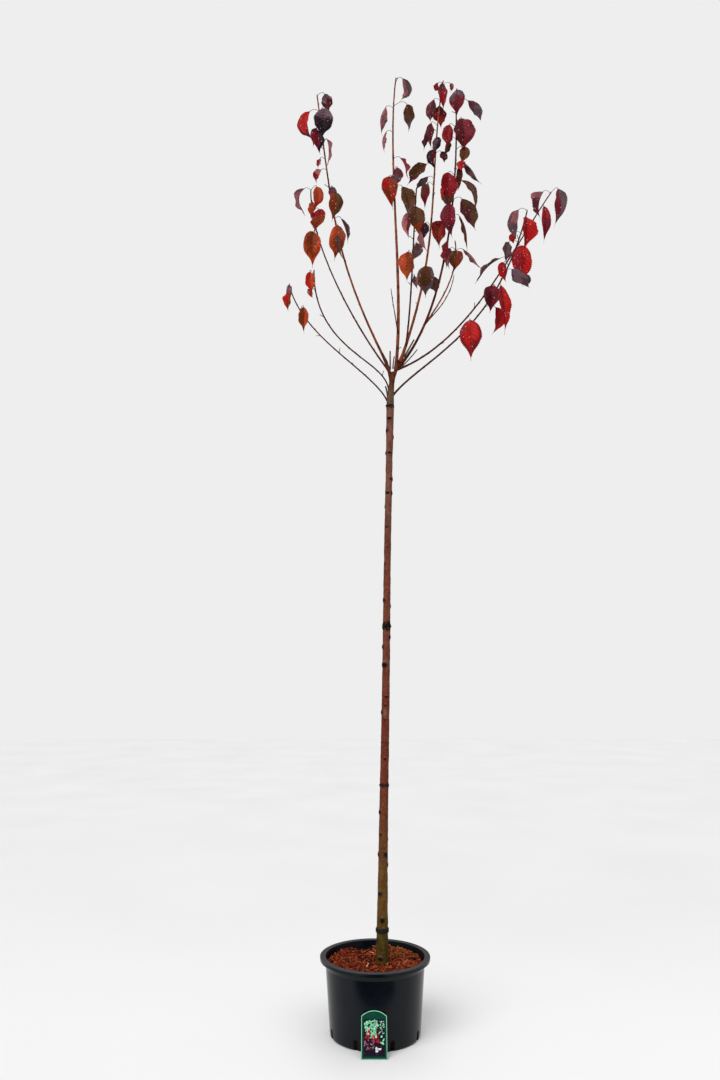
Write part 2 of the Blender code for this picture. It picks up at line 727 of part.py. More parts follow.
def make_leaves(whip, finished):
    """The leafy end of a whip: its stem and its leaves, joined. A leaf that touches a limb or
    another mass turns round its whip until it is free, and is left off if it never is."""
    stem = whip.stretch(
        "leaves_" + whip.name, whip.bare + GAP, whip.length, finish("whip_bark", WHIP_COLOUR, 0.5)
    )
    others = surface(finished)
    draw = random.Random(whip.name)
    pieces = []
    for number, words in enumerate(read_leaves(whip.leaves)):
        leaf = Leaf(whip, *words, draw)
        for turn in range(TURN_TRIES):
            made = leaf.make(str(number))
            if not touches(made, others):
                pieces += made
                break
            for piece in made:
                bpy.data.objects.remove(piece)
            leaf.side += TURN_STEP * (turn + 1) * (-1) ** turn
            print("turned", whip.name, number)
        else:
            print("left off", whip.name, number)
    return combine(stem, pieces)


def main():
    clear_scene()
    make_pot()
    make_mulch()
    make_card()
    whips = plan_whips()
    trunk = make_stem(whips)
    for name, (height, width, thickness) in TIES.items():
        make_tie(name, height, width, thickness)
    finished = [trunk] + [make_bough(whip, whips) for whip in whips]
    for whip in whips:
        if whip.leaves:
            finished.append(make_leaves(whip, finished))


main()
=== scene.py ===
# %% [markdown]
# # A cherry grown as a tall standard, in autumn leaf
#
# The real thing is a slim stem over two metres tall with a head of long whips, each with a few
# large leaves that hang and turn red, brown and purple. It stands in a round black nursery pot.
# We load its plain solids first. They say how big everything is and where it goes, and each piece
# that we make will stand over the solid that it replaces.

# %% Load the plain solids
import math
import random
import re

import bmesh
import bpy
from mathutils import Matrix, Vector, noise
from mathutils.bvhtree import BVHTree
from mathutils.geometry import interpolate_bezier


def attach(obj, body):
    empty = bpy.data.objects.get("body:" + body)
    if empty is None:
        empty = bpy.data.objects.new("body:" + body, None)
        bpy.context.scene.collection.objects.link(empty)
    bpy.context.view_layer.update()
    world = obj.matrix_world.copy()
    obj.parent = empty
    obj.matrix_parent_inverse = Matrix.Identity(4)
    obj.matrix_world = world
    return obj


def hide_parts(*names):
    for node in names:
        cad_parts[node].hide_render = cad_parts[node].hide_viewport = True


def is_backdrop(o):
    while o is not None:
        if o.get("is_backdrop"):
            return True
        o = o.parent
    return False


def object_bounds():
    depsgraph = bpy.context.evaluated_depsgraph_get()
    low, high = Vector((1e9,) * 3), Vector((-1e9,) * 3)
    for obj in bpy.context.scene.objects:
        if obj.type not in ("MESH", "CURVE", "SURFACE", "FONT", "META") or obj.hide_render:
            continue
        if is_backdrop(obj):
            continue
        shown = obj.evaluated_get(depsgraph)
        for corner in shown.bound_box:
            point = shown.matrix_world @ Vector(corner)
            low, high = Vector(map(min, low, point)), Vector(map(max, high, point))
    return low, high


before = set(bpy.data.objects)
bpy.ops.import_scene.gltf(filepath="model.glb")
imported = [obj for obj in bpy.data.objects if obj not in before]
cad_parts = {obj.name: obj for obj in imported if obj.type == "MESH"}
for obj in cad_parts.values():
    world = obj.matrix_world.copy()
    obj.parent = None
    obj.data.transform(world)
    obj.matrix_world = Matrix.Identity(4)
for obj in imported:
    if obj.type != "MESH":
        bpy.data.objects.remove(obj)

UP = Vector((0, 0, 1))
plain_box = [[float(number) for number in corner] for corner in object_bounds()]
print("the plain solids reach from", plain_box[0], "to", plain_box[1])

# %% [markdown]
# ## Small tools
#
# A plant is full of directions and of things that change slowly along their length. A compass
# direction and a blend between two values say both in a word.

# %% Directions and blends


def compass(degrees):
    """A level unit vector, 0 along +X and 90 along +Y."""
    turn = math.radians(degrees)
    return Vector((math.cos(turn), math.sin(turn), 0))


def mix(low, high, share):
    """The value at that share of the way from low to high."""
    return low + (high - low) * share


def between(table, value):
    """Reads a table of pairs at a value, straight between its rows."""
    if value <= table[0][0]:
        return table[0][1]
    for (low, first), (high, last) in zip(table, table[1:]):
        if value <= high:
            return mix(first, last, (value - low) / (high - low))
    return table[-1][1]


def turns_along(points):
    """Carries one orientation along a path with no twist: a rotation for each point."""
    ways = [(after - before).normalized() for before, after in zip(points, points[1:])]
    ways.append(ways[-1])
    turn = UP.rotation_difference(ways[0])
    turns = [turn]
    for before, after in zip(ways, ways[1:]):
        turn = before.rotation_difference(after) @ turn
        turns.append(turn)
    return turns


print("north-east is", compass(45))

# %% [markdown]
# ## From a bmesh to a piece
#
# We shape everything in a bmesh with operators. Small shapes, such as buds and chips, are gathered
# into one large bmesh, because one mesh of a thousand buds is far lighter than a thousand objects.
# A piece then moves with a body, takes its finishes, and hides the plain solids that it stands for.

# %% Gather shapes and finish a piece


def gather(whole, shape, finish_number=None):
    """Adds one small shape, its faces turned outwards, to a joined one."""
    bmesh.ops.recalc_face_normals(shape, faces=shape.faces)
    if finish_number is not None:
        for face in shape.faces:
            face.material_index = finish_number
    mesh = bpy.data.meshes.new("small")
    shape.to_mesh(mesh)
    shape.free()
    whole.from_mesh(mesh)
    bpy.data.meshes.remove(mesh)


def make_piece(name, shape, finishes, nodes, sharp_over=40):
    """Turns a bmesh into a named piece that stands for some plain solids."""
    mesh = bpy.data.meshes.new(name)
    shape.to_mesh(mesh)
    shape.free()
    for each in finishes:
        mesh.materials.append(each)
    mesh.shade_smooth()
    mesh.set_sharp_from_angle(angle=math.radians(sharp_over))
    made = bpy.data.objects.new(name, mesh)
    bpy.context.scene.collection.objects.link(made)
    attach(made, "root")
    if nodes:
        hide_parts(*nodes)
    mesh.calc_loop_triangles()
    print(name, "has", len(mesh.loop_triangles), "triangles")
    return made


BELOW_HALF = 0.3


def rolled(rings, sides, place, marks=None):
    """A closed tube: a cylinder is cut into rings, and each point goes where place says for its
    ring and its side. Marks are named tables of rings and sides that its finish reads."""
    shape = bmesh.new()
    bmesh.ops.create_cone(shape, cap_ends=True, segments=sides, radius1=1, radius2=1, depth=1)
    lengthways = [
        edge for edge in shape.edges if abs(edge.verts[0].co.z - edge.verts[1].co.z) > 0.5
    ]
    bmesh.ops.subdivide_edges(shape, edges=lengthways, cuts=rings - 1, use_grid_fill=True)
    layers = [
        (shape.verts.layers.float.new(name), table) for name, table in (marks or {}).items()
    ]
    for vertex in shape.verts:
        ring = round((vertex.co.z + 0.5) * rings)
        turn = math.atan2(vertex.co.y, vertex.co.x) / math.tau
        side = math.floor(turn * sides + BELOW_HALF) % sides
        vertex.co = place(ring, side)
        for layer, table in layers:
            vertex[layer] = min(1.0, table[ring][side])
    return shape


print("tools are ready")

# %% [markdown]
# ## Finishes
#
# Every surface here has a plain colour that varies a little, a gloss that varies a little and a
# fine relief. A small class keeps the node work short: it starts from the shader with its own
# colour and gloss, and then adds what each surface needs. All patterns read Object coordinates, so
# they stay put on the piece.

# %% A finish in the making


class Finish:
    """A material in the making: a colour and a gloss, to which grain and relief are added."""

    def __init__(self, name, colour, roughness, **sockets):
        self.made = bpy.data.materials.new(name)
        self.made.use_nodes = True
        self.tree = self.made.node_tree
        self.shader = self.tree.nodes["Principled BSDF"]
        self.shader.inputs["Base Color"].default_value = (*colour, 1)
        self.shader.inputs["Roughness"].default_value = roughness
        for socket, value in sockets.items():
            self.shader.inputs[socket.replace("_", " ")].default_value = value
        self.place = self.node("TexCoord").outputs["Object"]

    def node(self, kind, values=None, **settings):
        """Adds a node, with plain values or another node's output fed to its sockets."""
        made = self.tree.nodes.new("ShaderNode" + kind)
        for setting, value in settings.items():
            setattr(made, setting, value)
        for socket, value in (values or {}).items():
            self.feed(made.inputs[socket], value)
        return made

    def feed(self, socket, value):
        if isinstance(value, bpy.types.NodeSocket):
            self.tree.links.new(value, socket)
        else:
            socket.default_value = value

    def grain(self, scale, stretch=(1, 1, 1), detail=3.0, rough=0.5):
        """Cloudy grain, which runs lengthways where a stretch is under 1."""
        turned = self.node("Mapping", {"Vector": self.place, "Scale": stretch})
        made = self.node(
            "TexNoise",
            {"Vector": turned.outputs[0], "Scale": scale, "Detail": detail, "Roughness": rough},
        )
        return made.outputs["Fac"]

    def range(self, value, low, high, first=0.0, last=1.0):
        """Stretches a value from one range to another, and clamps it."""
        made = self.node(
            "MapRange",
            {"Value": value, "From Min": low, "From Max": high, "To Min": first, "To Max": last},
        )
        return made.outputs["Result"]

    def tint(self, share, under, over):
        """Lays one colour over another by a share from 0 to 1."""
        made = self.node("Mix", data_type="RGBA")
        self.feed(made.inputs["Factor"], share)
        for socket, colour in ((made.inputs[6], under), (made.inputs[7], over)):
            self.feed(socket, colour if isinstance(colour, bpy.types.NodeSocket) else (*colour, 1))
        return made.outputs[2]

    def sums(self, operation, first, second):
        made = self.node("Math", operation=operation)
        self.feed(made.inputs[0], first)
        self.feed(made.inputs[1], second)
        return made.outputs[0]

    def colour(self, output):
        self.feed(self.shader.inputs["Base Color"], output)

    def gloss(self, output):
        self.feed(self.shader.inputs["Roughness"], output)

    def relief(self, height, strength, distance):
        made = self.node("Bump", {"Height": height, "Strength": strength, "Distance": distance})
        self.feed(self.shader.inputs["Normal"], made.outputs["Normal"])


print("finish maker is ready")

# %% [markdown]
# ## Bark
#
# Young cherry bark is smooth and a little shiny, and breathes through lenticels: fine raised
# lines that run round the stem. On this stem its colour changes with height, from dusty brown
# under the head, through red-brown, to a film of green algae near the pot. A height gradient gives
# that. Broad and fine clouds deepen it in spots, and noise stretched sideways gives the lenticels
# that are too fine to model. Two marks, which we will write on the mesh, blacken scars and pale
# the healed bark beside them.

# %% Bark of the stem
ALGAE_GREEN = (0.060, 0.054, 0.006)
OLIVE = (0.110, 0.064, 0.010)
OLIVE_BROWN = (0.120, 0.044, 0.016)
RED_BROWN = (0.150, 0.026, 0.015)
RUSSET = (0.175, 0.050, 0.029)
DUSTY_BROWN = (0.195, 0.078, 0.054)
HEAD_GREY = (0.120, 0.082, 0.050)
HEAD_BROWN = (0.098, 0.027, 0.012)
DEEP_BROWN = (0.040, 0.012, 0.007)
SCAR_BLACK = (0.006, 0.004, 0.003)
LENTICEL_TAN = (0.240, 0.110, 0.070)
FLECK_ORANGE = (0.300, 0.085, 0.030)
STEM_COLOURS = (
    (0.27, ALGAE_GREEN),
    (0.40, ALGAE_GREEN),
    (0.52, OLIVE),
    (0.70, OLIVE_BROWN),
    (1.00, RED_BROWN),
    (1.34, RED_BROWN),
    (1.48, RUSSET),
    (1.92, RUSSET),
    (2.10, DUSTY_BROWN),
    (2.52, DUSTY_BROWN),
    (2.56, HEAD_GREY),
    (2.60, HEAD_GREY),
    (2.64, HEAD_BROWN),
)


def stem_bark():
    bark = Finish("stem_bark", RUSSET, 0.6, Specular_IOR_Level=0.06)
    height = bark.node("SeparateXYZ", {"Vector": bark.place}).outputs["Z"]
    patchy = bark.grain(24.0, (1, 1, 0.5), detail=4.0)
    sway = bark.range(height, 2.3, 2.5, 0.11, 0.01)
    swing = bark.sums("MULTIPLY", bark.range(patchy, 0.3, 0.7, -1.0, 1.0), sway)
    wandering = bark.sums("ADD", height, swing)
    low, high = STEM_COLOURS[0][0], STEM_COLOURS[-1][0]
    ramp = bark.node("ValToRGB", {"Fac": bark.range(wandering, low, high)})
    stops = ramp.color_ramp.elements
    while len(stops) < len(STEM_COLOURS):
        stops.new(0.5)
    for stop, (level, colour) in zip(stops, STEM_COLOURS):
        stop.position = (level - low) / (high - low)
        stop.color = (*colour, 1)
    broad = bark.range(bark.grain(42.0, (1, 1, 0.4)), 0.42, 0.72)
    cloudy = bark.range(bark.grain(150.0, (1, 1, 0.6), detail=4.0, rough=0.65), 0.44, 0.68)
    flecks = bark.range(bark.grain(170.0, (1, 1, 0.8), detail=2.0), 0.55, 0.68)
    deep = bark.sums("ADD", bark.sums("MULTIPLY", broad, 0.40), bark.sums("MULTIPLY", cloudy, 0.60))
    base = bark.tint(deep, ramp.outputs["Color"], DEEP_BROWN)
    base = bark.tint(bark.sums("MULTIPLY", flecks, 0.45), base, FLECK_ORANGE)
    dashes = bark.range(bark.grain(75.0, (1, 1, 7.0), detail=1.0), 0.60, 0.70)
    base = bark.tint(bark.sums("MULTIPLY", dashes, 0.30), base, LENTICEL_TAN)
    healed = bark.node("Attribute", attribute_name="healed").outputs["Fac"]
    base = bark.tint(healed, base, LENTICEL_TAN)
    mark = bark.node("Attribute", attribute_name="mark").outputs["Fac"]
    ragged = bark.sums("MULTIPLY", mark, bark.range(cloudy, 0.0, 1.0, 1.25, 0.8))
    bark.colour(bark.tint(bark.sums("MINIMUM", ragged, 1.0), base, SCAR_BLACK))
    bark.gloss(bark.range(cloudy, 0.0, 1.0, 0.42, 0.68))
    fine = bark.sums("ADD", dashes, bark.grain(420.0, (1, 1, 1.6)))
    bark.relief(fine, 0.5, 0.0005)
    return bark.made


stem_finish = stem_bark()
print(stem_finish.name, "has", len(stem_finish.node_tree.nodes), "nodes")

# %% [markdown]
# The whips are this year's and last year's wood. It is redder and shinier than the stem, and
# speckled with pale dots. Those on the left catch the light, and that light is painted into their
# bark as a lighter orange, so the bark is made from a function and comes in a plain tone and a
# lit tone.

# %% Bark of the whips
WHIP_DARK = (0.016, 0.004, 0.003)
WHIP_RED = (0.110, 0.018, 0.009)
# painted light: a lighter orange copy of the red bark, for the whips that catch the light
WHIP_LIT_ORANGE = (0.300, 0.070, 0.022)
DARK_FOOT = (2.66, 3.00)


def whip_bark(name, colour):
    bark = Finish(name, colour, 0.5, Specular_IOR_Level=0.05)
    cloudy = bark.range(bark.grain(46.0, (1, 1, 0.6), detail=4.0), 0.42, 0.64)
    height = bark.node("SeparateXYZ", {"Vector": bark.place}).outputs["Z"]
    foot = bark.sums("MULTIPLY", bark.range(height, *DARK_FOOT, 1.0, 0.0), 0.65)
    clouds = bark.sums("MULTIPLY", cloudy, 0.90)
    base = bark.tint(bark.sums("MAXIMUM", clouds, foot), colour, WHIP_DARK)
    dots = bark.range(bark.grain(620.0, (1, 1, 0.8), detail=0.0), 0.70, 0.76)
    base = bark.tint(bark.sums("MULTIPLY", dots, 0.55), base, LENTICEL_TAN)
    mark = bark.node("Attribute", attribute_name="mark").outputs["Fac"]
    bark.colour(bark.tint(mark, base, SCAR_BLACK))
    bark.gloss(bark.range(cloudy, 0.0, 1.0, 0.32, 0.55))
    bark.relief(bark.sums("ADD", dots, bark.grain(300.0, (1, 1, 0.3))), 0.35, 0.0003)
    return bark.made


whip_finishes = [whip_bark("whip_bark_red", WHIP_RED), whip_bark("whip_bark_orange", WHIP_LIT_ORANGE)]
print([each.name for each in whip_finishes])

# %% [markdown]
# ## The line of the stem
#
# The stem leans a little to the right as it climbs and tapers to under three centimetres below its
# head. Its middle line and its diameters are the same as the plain solid's.

# %% The stem's middle line and thickness
MULCH_LEVEL = 0.268
STEM_FOOT = Vector((0.027, -0.010, 0.2683))
STEM_HEAD = Vector((0.072, 0.000, 2.590))
STEM_TOP = Vector((0.084, 0.000, 2.705))
STEM_WANDER = -0.0012
STEM_WAVES = 3.4
STEM_BOW = 1.6
STEM_DIAMETERS = (
    (0.268, 0.055),
    (0.300, 0.050),
    (0.420, 0.044),
    (0.620, 0.039),
    (0.810, 0.0365),
    (1.280, 0.0325),
    (1.850, 0.0295),
    (2.300, 0.0285),
    (2.440, 0.0315),
    (2.540, 0.0335),
    (2.600, 0.030),
    (2.650, 0.024),
    (2.705, 0.023),
)


def stem_centre(height):
    """The middle of the stem at a height: a straight lean with a slight wander, then a crook."""
    if height > STEM_HEAD.z:
        return STEM_HEAD.lerp(STEM_TOP, (height - STEM_HEAD.z) / (STEM_TOP.z - STEM_HEAD.z))
    share = max(0.0, (height - STEM_FOOT.z) / (STEM_HEAD.z - STEM_FOOT.z))
    sway = STEM_BOW + math.sin(math.pi * STEM_WAVES * share)
    wave = STEM_WANDER * math.sin(math.pi * share) * sway
    return STEM_FOOT.lerp(STEM_HEAD, share) + Vector((wave, wave / 2, 0))


print("at 1.5 m the stem is", round(between(STEM_DIAMETERS, 1.5) * 1000, 1), "mm thick")

# %% [markdown]
# ## Relief on bark
#
# Scars, knobs and lenticels are lumps on a long thin tube. It is easiest to roll the bark out flat:
# a table of rings by sides says how far each spot stands out, and two more say how dark or how
# healed it is. A lump is a soft bell shape added to the few rings round its middle.

# %% Bark rolled out flat


class BarkSheet:
    """How far each spot of a limb's bark stands out, how dark it is and how healed."""

    def __init__(self, start, end, step, sides, radius_at):
        self.start = start
        self.rings = max(2, math.ceil((end - start) / step))
        self.step = (end - start) / self.rings
        self.sides = sides
        self.radius_at = radius_at
        self.height, self.mark, self.healed = (
            [[0.0] * sides for _ in range(self.rings + 1)] for _ in range(3)
        )

    def along(self, ring):
        return self.start + ring * self.step

    def lump(self, along, angle, height, long, wide, mark=0.0, healed=0.0):
        """A lump of a height, with its length along the limb and its width round it. It runs all
        round where its width is None."""
        middle = (along - self.start) / self.step
        spread = 2.6 * long / self.step
        radius = self.radius_at(along)
        for ring in range(max(0, round(middle - spread)), min(self.rings, round(middle + spread)) + 1):
            near = math.exp(-(((self.along(ring) - along) / long) ** 2))
            for side in range(self.sides):
                bell = near
                if wide is not None:
                    turn = (math.tau * side / self.sides - angle + math.pi) % math.tau - math.pi
                    bell = near * math.exp(-((turn * radius / wide) ** 2))
                if bell > 0.02:
                    self.height[ring][side] += height * bell
                    self.mark[ring][side] = max(self.mark[ring][side], mark * bell)
                    self.healed[ring][side] = max(self.healed[ring][side], healed * bell)

    def uneven(self, amount, long, seed):
        """Slow swellings that come and go along the limb."""
        for ring in range(self.rings + 1):
            for side in range(self.sides):
                angle = math.tau * side / self.sides
                spot = Vector((math.cos(angle), math.sin(angle), self.along(ring) / long))
                self.height[ring][side] += amount * noise.noise(spot + Vector((seed, 0, 0)))

    def limb(self, point_at, turn_at, taper=lambda ring: 1.0):
        """Rolls the sheet round the limb's own line."""

        def place(ring, side):
            along = self.along(ring)
            out = (self.radius_at(along) + self.height[ring][side]) * taper(ring)
            angle = math.tau * side / self.sides
            spoke = Vector((out * math.cos(angle), out * math.sin(angle), 0))
            return point_at(along) + turn_at(along) @ spoke

        return rolled(self.rings, self.sides, place, {"mark": self.mark, "healed": self.healed})


print("bark sheets are ready")

# %% [markdown]
# ## The stem
#
# Its bark carries a knob where each side branch was cut off while it grew, flat scars on its face,
# rough black rings where it was cut back, and over a thousand lenticels. The foot spreads in low
# ribs. Each is a lump on the sheet. A scar is a swelling with a black dent in it and a pale rim of
# healed bark over it.

# %% The stem's bark and its knobs
KNOBS_LEFT = (0.680, 0.845, 1.243, 1.435, 1.510, 1.705, 2.105, 2.338, 2.438)
KNOBS_RIGHT = (0.638, 0.739, 1.550, 1.680, 2.163, 2.224, 2.410)
FACE_SCARS = (
    (2.490, 254, 0.0085, 0.0048, 1.2),
    (2.338, 270, 0.0080, 0.0036, 1.2),
    (2.224, 305, 0.0050, 0.0042, 0.9),
    (2.163, 248, 0.0075, 0.0042, 1.2),
    (2.016, 242, 0.0070, 0.0036, 0.8),
    (1.930, 262, 0.0095, 0.0022, 0.5),
    (1.857, 215, 0.0060, 0.0060, 0.7),
    (1.435, 236, 0.0095, 0.0070, 1.5),
    (1.305, 279, 0.0060, 0.0036, 0.9),
    (1.270, 262, 0.0030, 0.0030, 0.9),
    (1.212, 265, 0.0036, 0.0030, 0.9),
    (1.055, 270, 0.0040, 0.0040, 1.1),
    (0.757, 227, 0.0055, 0.0050, 0.7),
    (0.680, 312, 0.0075, 0.0065, 1.5),
    (0.530, 228, 0.0090, 0.0060, 0.9),
    (0.430, 270, 0.0060, 0.0065, 1.5),
    (0.352, 205, 0.0070, 0.0090, 0.7),
    (0.286, 253, 0.0080, 0.0050, 1.1),
    (1.990, 80, 0.0070, 0.0045, 1.1),
    (1.640, 110, 0.0080, 0.0050, 1.2),
    (1.160, 65, 0.0065, 0.0050, 1.0),
    (0.880, 95, 0.0085, 0.0060, 1.3),
    (0.500, 120, 0.0060, 0.0060, 1.0),
)
CALLUS = (1.241, 259, 0.0100, 0.0170)
SCAR_SPREAD = 1.2
ROUGH_RINGS = (
    (2.548, 0.0048, 90, 1.5),
    (1.597, 0.0115, 300, 1.6),
    (1.120, 0.0020, 10, 0.4),
    (0.951, 0.0050, 70, 1.8),
)
LENTICELS = 1300
FOOT_RIBS = 5


def stem_sheet():
    sheet = BarkSheet(
        STEM_FOOT.z, STEM_TOP.z, 0.0020, 36, lambda height: between(STEM_DIAMETERS, height) / 2
    )
    sheet.uneven(0.0011, 0.05, 3.0)
    sheet.uneven(0.0006, 0.016, 8.0)
    draw = random.Random(5)
    for side, heights in ((180, KNOBS_LEFT), (0, KNOBS_RIGHT)):
        for height in heights:
            angle = math.radians(side + draw.uniform(-35, 35))
            sheet.lump(height, angle, 0.0040, 0.0080, 0.0080, mark=1.7)
            sheet.lump(height + 0.002, angle, -0.0012, 0.0030, 0.0032)
            sheet.lump(height + 0.011, angle, 0.0004, 0.0035, 0.0080, healed=0.5)
    for height, side, wide, long, mark in FACE_SCARS:
        angle = math.radians(side)
        sheet.lump(height, angle, 0.0014, long * 1.6, wide * 1.3)
        sheet.lump(height, angle, -0.0012, long * SCAR_SPREAD, wide * SCAR_SPREAD, mark=mark * 1.4)
        sheet.lump(height + long * 2.1, angle, 0.0004, long * 0.7, wide, healed=0.55)
    height, side, wide, long = CALLUS
    sheet.lump(height, math.radians(side), 0.0012, long, wide, healed=0.7)
    dots = random.Random(17)
    for height, spread, count, mark in ROUGH_RINGS:
        sheet.lump(height, 0, 0.0009, spread, None, mark=mark * 0.6)
        for _ in range(count):
            sheet.lump(
                dots.gauss(height, spread * 0.7),
                dots.uniform(0, math.tau),
                dots.uniform(-0.0004, 0.0012),
                dots.uniform(0.0012, 0.0032),
                dots.uniform(0.002, 0.006),
                mark=mark * dots.uniform(0.3, 1.2),
            )
    for _ in range(LENTICELS):
        sheet.lump(
            dots.uniform(STEM_FOOT.z, STEM_TOP.z),
            dots.uniform(0, math.tau),
            dots.uniform(0.0002, 0.0005),
            0.0013,
            dots.uniform(0.002, 0.006),
            mark=dots.uniform(0.0, 0.45),
        )
    for ring in range(sheet.rings + 1):
        fade = math.exp(-(sheet.along(ring) - STEM_FOOT.z) / 0.05)
        for side in range(sheet.sides):
            sheet.height[ring][side] += 0.0012 * fade * math.cos(FOOT_RIBS * math.tau * side / 36)
    return sheet


stem_bark_sheet = stem_sheet()
print("stem bark has", stem_bark_sheet.rings, "rings of", stem_bark_sheet.sides)

# %% [markdown]
# ## Whips
#
# Each whip is a slim limb that climbs in one upright plane: it leaves its foot at one angle and
# ends at another. A Bezier curve through those four facts is the whole plan of a whip, the same as
# the plain solids follow. Its thickness is an even taper with a swell at the foot.

# %% The plan of a whip
WHIP_TIP = 0.0056
TWIG_TIP = 0.0032
SWELL_LENGTH = 0.07
ROOT_SINK = 0.012


class Whip:
    """A slim limb, with its bare length and the words that say what leaves it bears."""

    def __init__(
        self, name, foot, heading, reach, rise, launch, finish, thick, pulls=(0.3, 0.3),
        swell=0.0, bare=None, fine=WHIP_TIP, leaves="", parent=None,
    ):
        self.name = name
        self.heading = heading
        self.parent = parent
        self.leaves = leaves
        self.thick = thick
        self.swell = swell
        self.fine = fine
        way = compass(heading)
        chord = math.hypot(reach, rise)
        start = Vector(foot)
        end = start + way * reach + UP * rise
        first = way * math.cos(math.radians(launch)) + UP * math.sin(math.radians(launch))
        last = way * math.cos(math.radians(finish)) + UP * math.sin(math.radians(finish))
        handle = start + first * chord * pulls[0]
        reins = end - last * chord * pulls[1]
        self.points = interpolate_bezier(start, handle, reins, end, 160)
        self.turns = turns_along(self.points)
        self.distances = [0.0]
        for before, after in zip(self.points, self.points[1:]):
            self.distances.append(self.distances[-1] + (after - before).length)
        self.length = self.distances[-1]
        self.bare = self.length if bare is None else bare

    def step_before(self, distance):
        """The number of the last fine point at or before a distance, and the share beyond it."""
        low = 0
        while low < len(self.distances) - 2 and self.distances[low + 1] < distance:
            low += 1
        span = self.distances[low + 1] - self.distances[low]
        return low, (distance - self.distances[low]) / span

    def at(self, distance):
        """The point at a distance along the whip. A distance below 0 runs back into its root."""
        low, share = self.step_before(distance)
        return self.points[low].lerp(self.points[low + 1], share)

    def turn_at(self, distance):
        low, _ = self.step_before(distance)
        return self.turns[low]

    def radius(self, distance):
        """Half the thickness: an even taper, and a swell at the foot that soon fades."""
        even = mix(self.thick, self.fine, max(0.0, distance) / self.length)
        return (even + self.swell * math.exp(-max(0.0, distance) / SWELL_LENGTH)) / 2


print("a whip's tip is", WHIP_TIP * 1000, "mm thick")

# %% [markdown]
# The nine whips leave the stem between 2.57 and 2.76 m, and four twigs leave three of them. The
# words for leaves are short: in 22@9x14n a leaf leaves its whip 22 cm below the tip, at nine
# o'clock as seen from above with twelve at the back, is 14 cm long as it hangs, and has the tint n.
# Marks may follow for a leaf that hangs edge on, slants, curls, or is slim, broad or long stalked.

# %% Every whip and twig


def plan_whips():
    whips = [
        Whip("left_low", (0.057, 0, 2.576), 156, 0.490, 0.620, 62, 76, 0.0068, (0.22, 0.35),
             bare=0.560, leaves="06@7x08s 02@6x07z< 15@5x10n"),
        Whip("left_front", (0.064, 0, 2.599), 225, 0.440, 0.430, 99, 91, 0.0064, (0.28, 0.60),
             bare=0.567, leaves="03@7x08o 09@8x04s"),
        Whip("left_back", (0.062, 0, 2.712), 143, 0.450, 1.000, 53, 91, 0.0084, (0.26, 0.26),
             bare=0.670, leaves="00@9x12c|( 00@4x10o 09@6x07o 12@4x11n> 26@7x15n"),
        Whip("left_tall", (0.052, -0.006, 2.750), 204, 0.330, 1.174, 60, 82, 0.0100,
             (0.40, 0.45), swell=0.003, bare=0.480,
             leaves="00@3x08b> 09@5x12k> 08@9x14s(< 17@8x07b 19@7x09c> 23@5x12c|< 30@9x04c "
             "35@9x06c/ 44@5x05g> 47@5x11z( 57@2x09b| 63@6x13o 68@6x12z|/"),
        Whip("leader", (0.097, 0, 2.721), 32, 0.010, 1.390, 83, 82, 0.0150, bare=0.730,
             leaves="01@3x11g(< 15@3x11z= 16@9x12p| 28@9x09c| 41@3x09c|< 47@5x08g> "
             "52@7x13s 55@3x13z"),
        Whip("right_tall", (0.119, 0, 2.757), 40, 0.291, 1.471, 67, 78, 0.0120, (0.47, 0.38),
             swell=0.005, bare=0.375,
             leaves="03@3x04c= 02@9x05c( 05@6x12c< 12@9x10g 13@12x09c> 29@9x09z< 26@8x11b< "
             "35@6x07k> 41@7x09b 41@3x05b> 47@9x12z/ 54@9x07g/ 58@8x11c< 79@8x09k "
             "102@6x12z> 106@3x07g>"),
        Whip("right_upright", (0.117, 0, 2.734), 331, 0.279, 1.210, 43, 92, 0.0112, (0.28, 0.28),
             swell=0.003, bare=0.480,
             leaves="02@6x10m> 05@3x10g/= 16@5x13b> 18@8x10s 28@4x07z> 36@5x06s/> "
             "35@4x13z|/< 40@8x13c> 23@9x08s| 38@5x09b< 44@4x15z|/< 44@9x09o|( "
             "51@3x14z 55@7x14m 59@3x13n|< 61@9x10n> 71@6x11s| 47@8x08g"),
        Whip("right_long", (0.110, 0, 2.716), 17, 0.780, 0.960, 26, 56, 0.0090, (0.31, 0.32),
             bare=0.540, leaves="01@4x16c< 01@9x11c|> 14@5x15c< 29@9x05s>= 34@9x09k>= 39@5x16s> "
             "44@9x14z|/<"),
        Whip("right_low", (0.088, 0, 2.603), 339, 0.600, 0.738, 46, 75, 0.0086, (0.22, 0.58),
             bare=0.385, leaves="00@9x12g(< 06@6x12s> 25@8x08s 28@4x11g/> 36@7x10b> 37@5x18s< "
             "46@3x11s(<= 55@6x15s"),
    ]
    bearers = {whip.name: whip for whip in whips}
    leader, tall, upright = bearers["leader"], bearers["right_tall"], bearers["right_upright"]
    whips += [
        Whip("right_front", tall.at(0.080), 277, 0.285, 0.585, 38, 62, 0.0080, bare=0.262,
             parent=tall, leaves="10@6x11n> 11@8x11c< 18@3x08c| 24@5x07g> 28@7x12o 37@5x05b"),
        Whip("right_inner", upright.at(0.195), 46, 0.230, 0.478, 53, 104, 0.0075, (0.21, 0.32),
             bare=0.420, leaves="05@8x09b 07@6x09z> 05@3x11z|/<", parent=upright),
        Whip("right_twig", upright.at(0.195), 307, 0.194, 0.162, 30, 76, 0.0055, (0.32, 0.43),
             fine=TWIG_TIP, parent=upright),
        Whip("leader_twig", leader.at(0.155), 245, 0.077, 0.182, 72, 73, 0.0055,
             fine=TWIG_TIP, parent=leader),
    ]
    return whips


whips = plan_whips()
print(len(whips), "whips and twigs,", round(sum(whip.length for whip in whips), 2), "m in all")

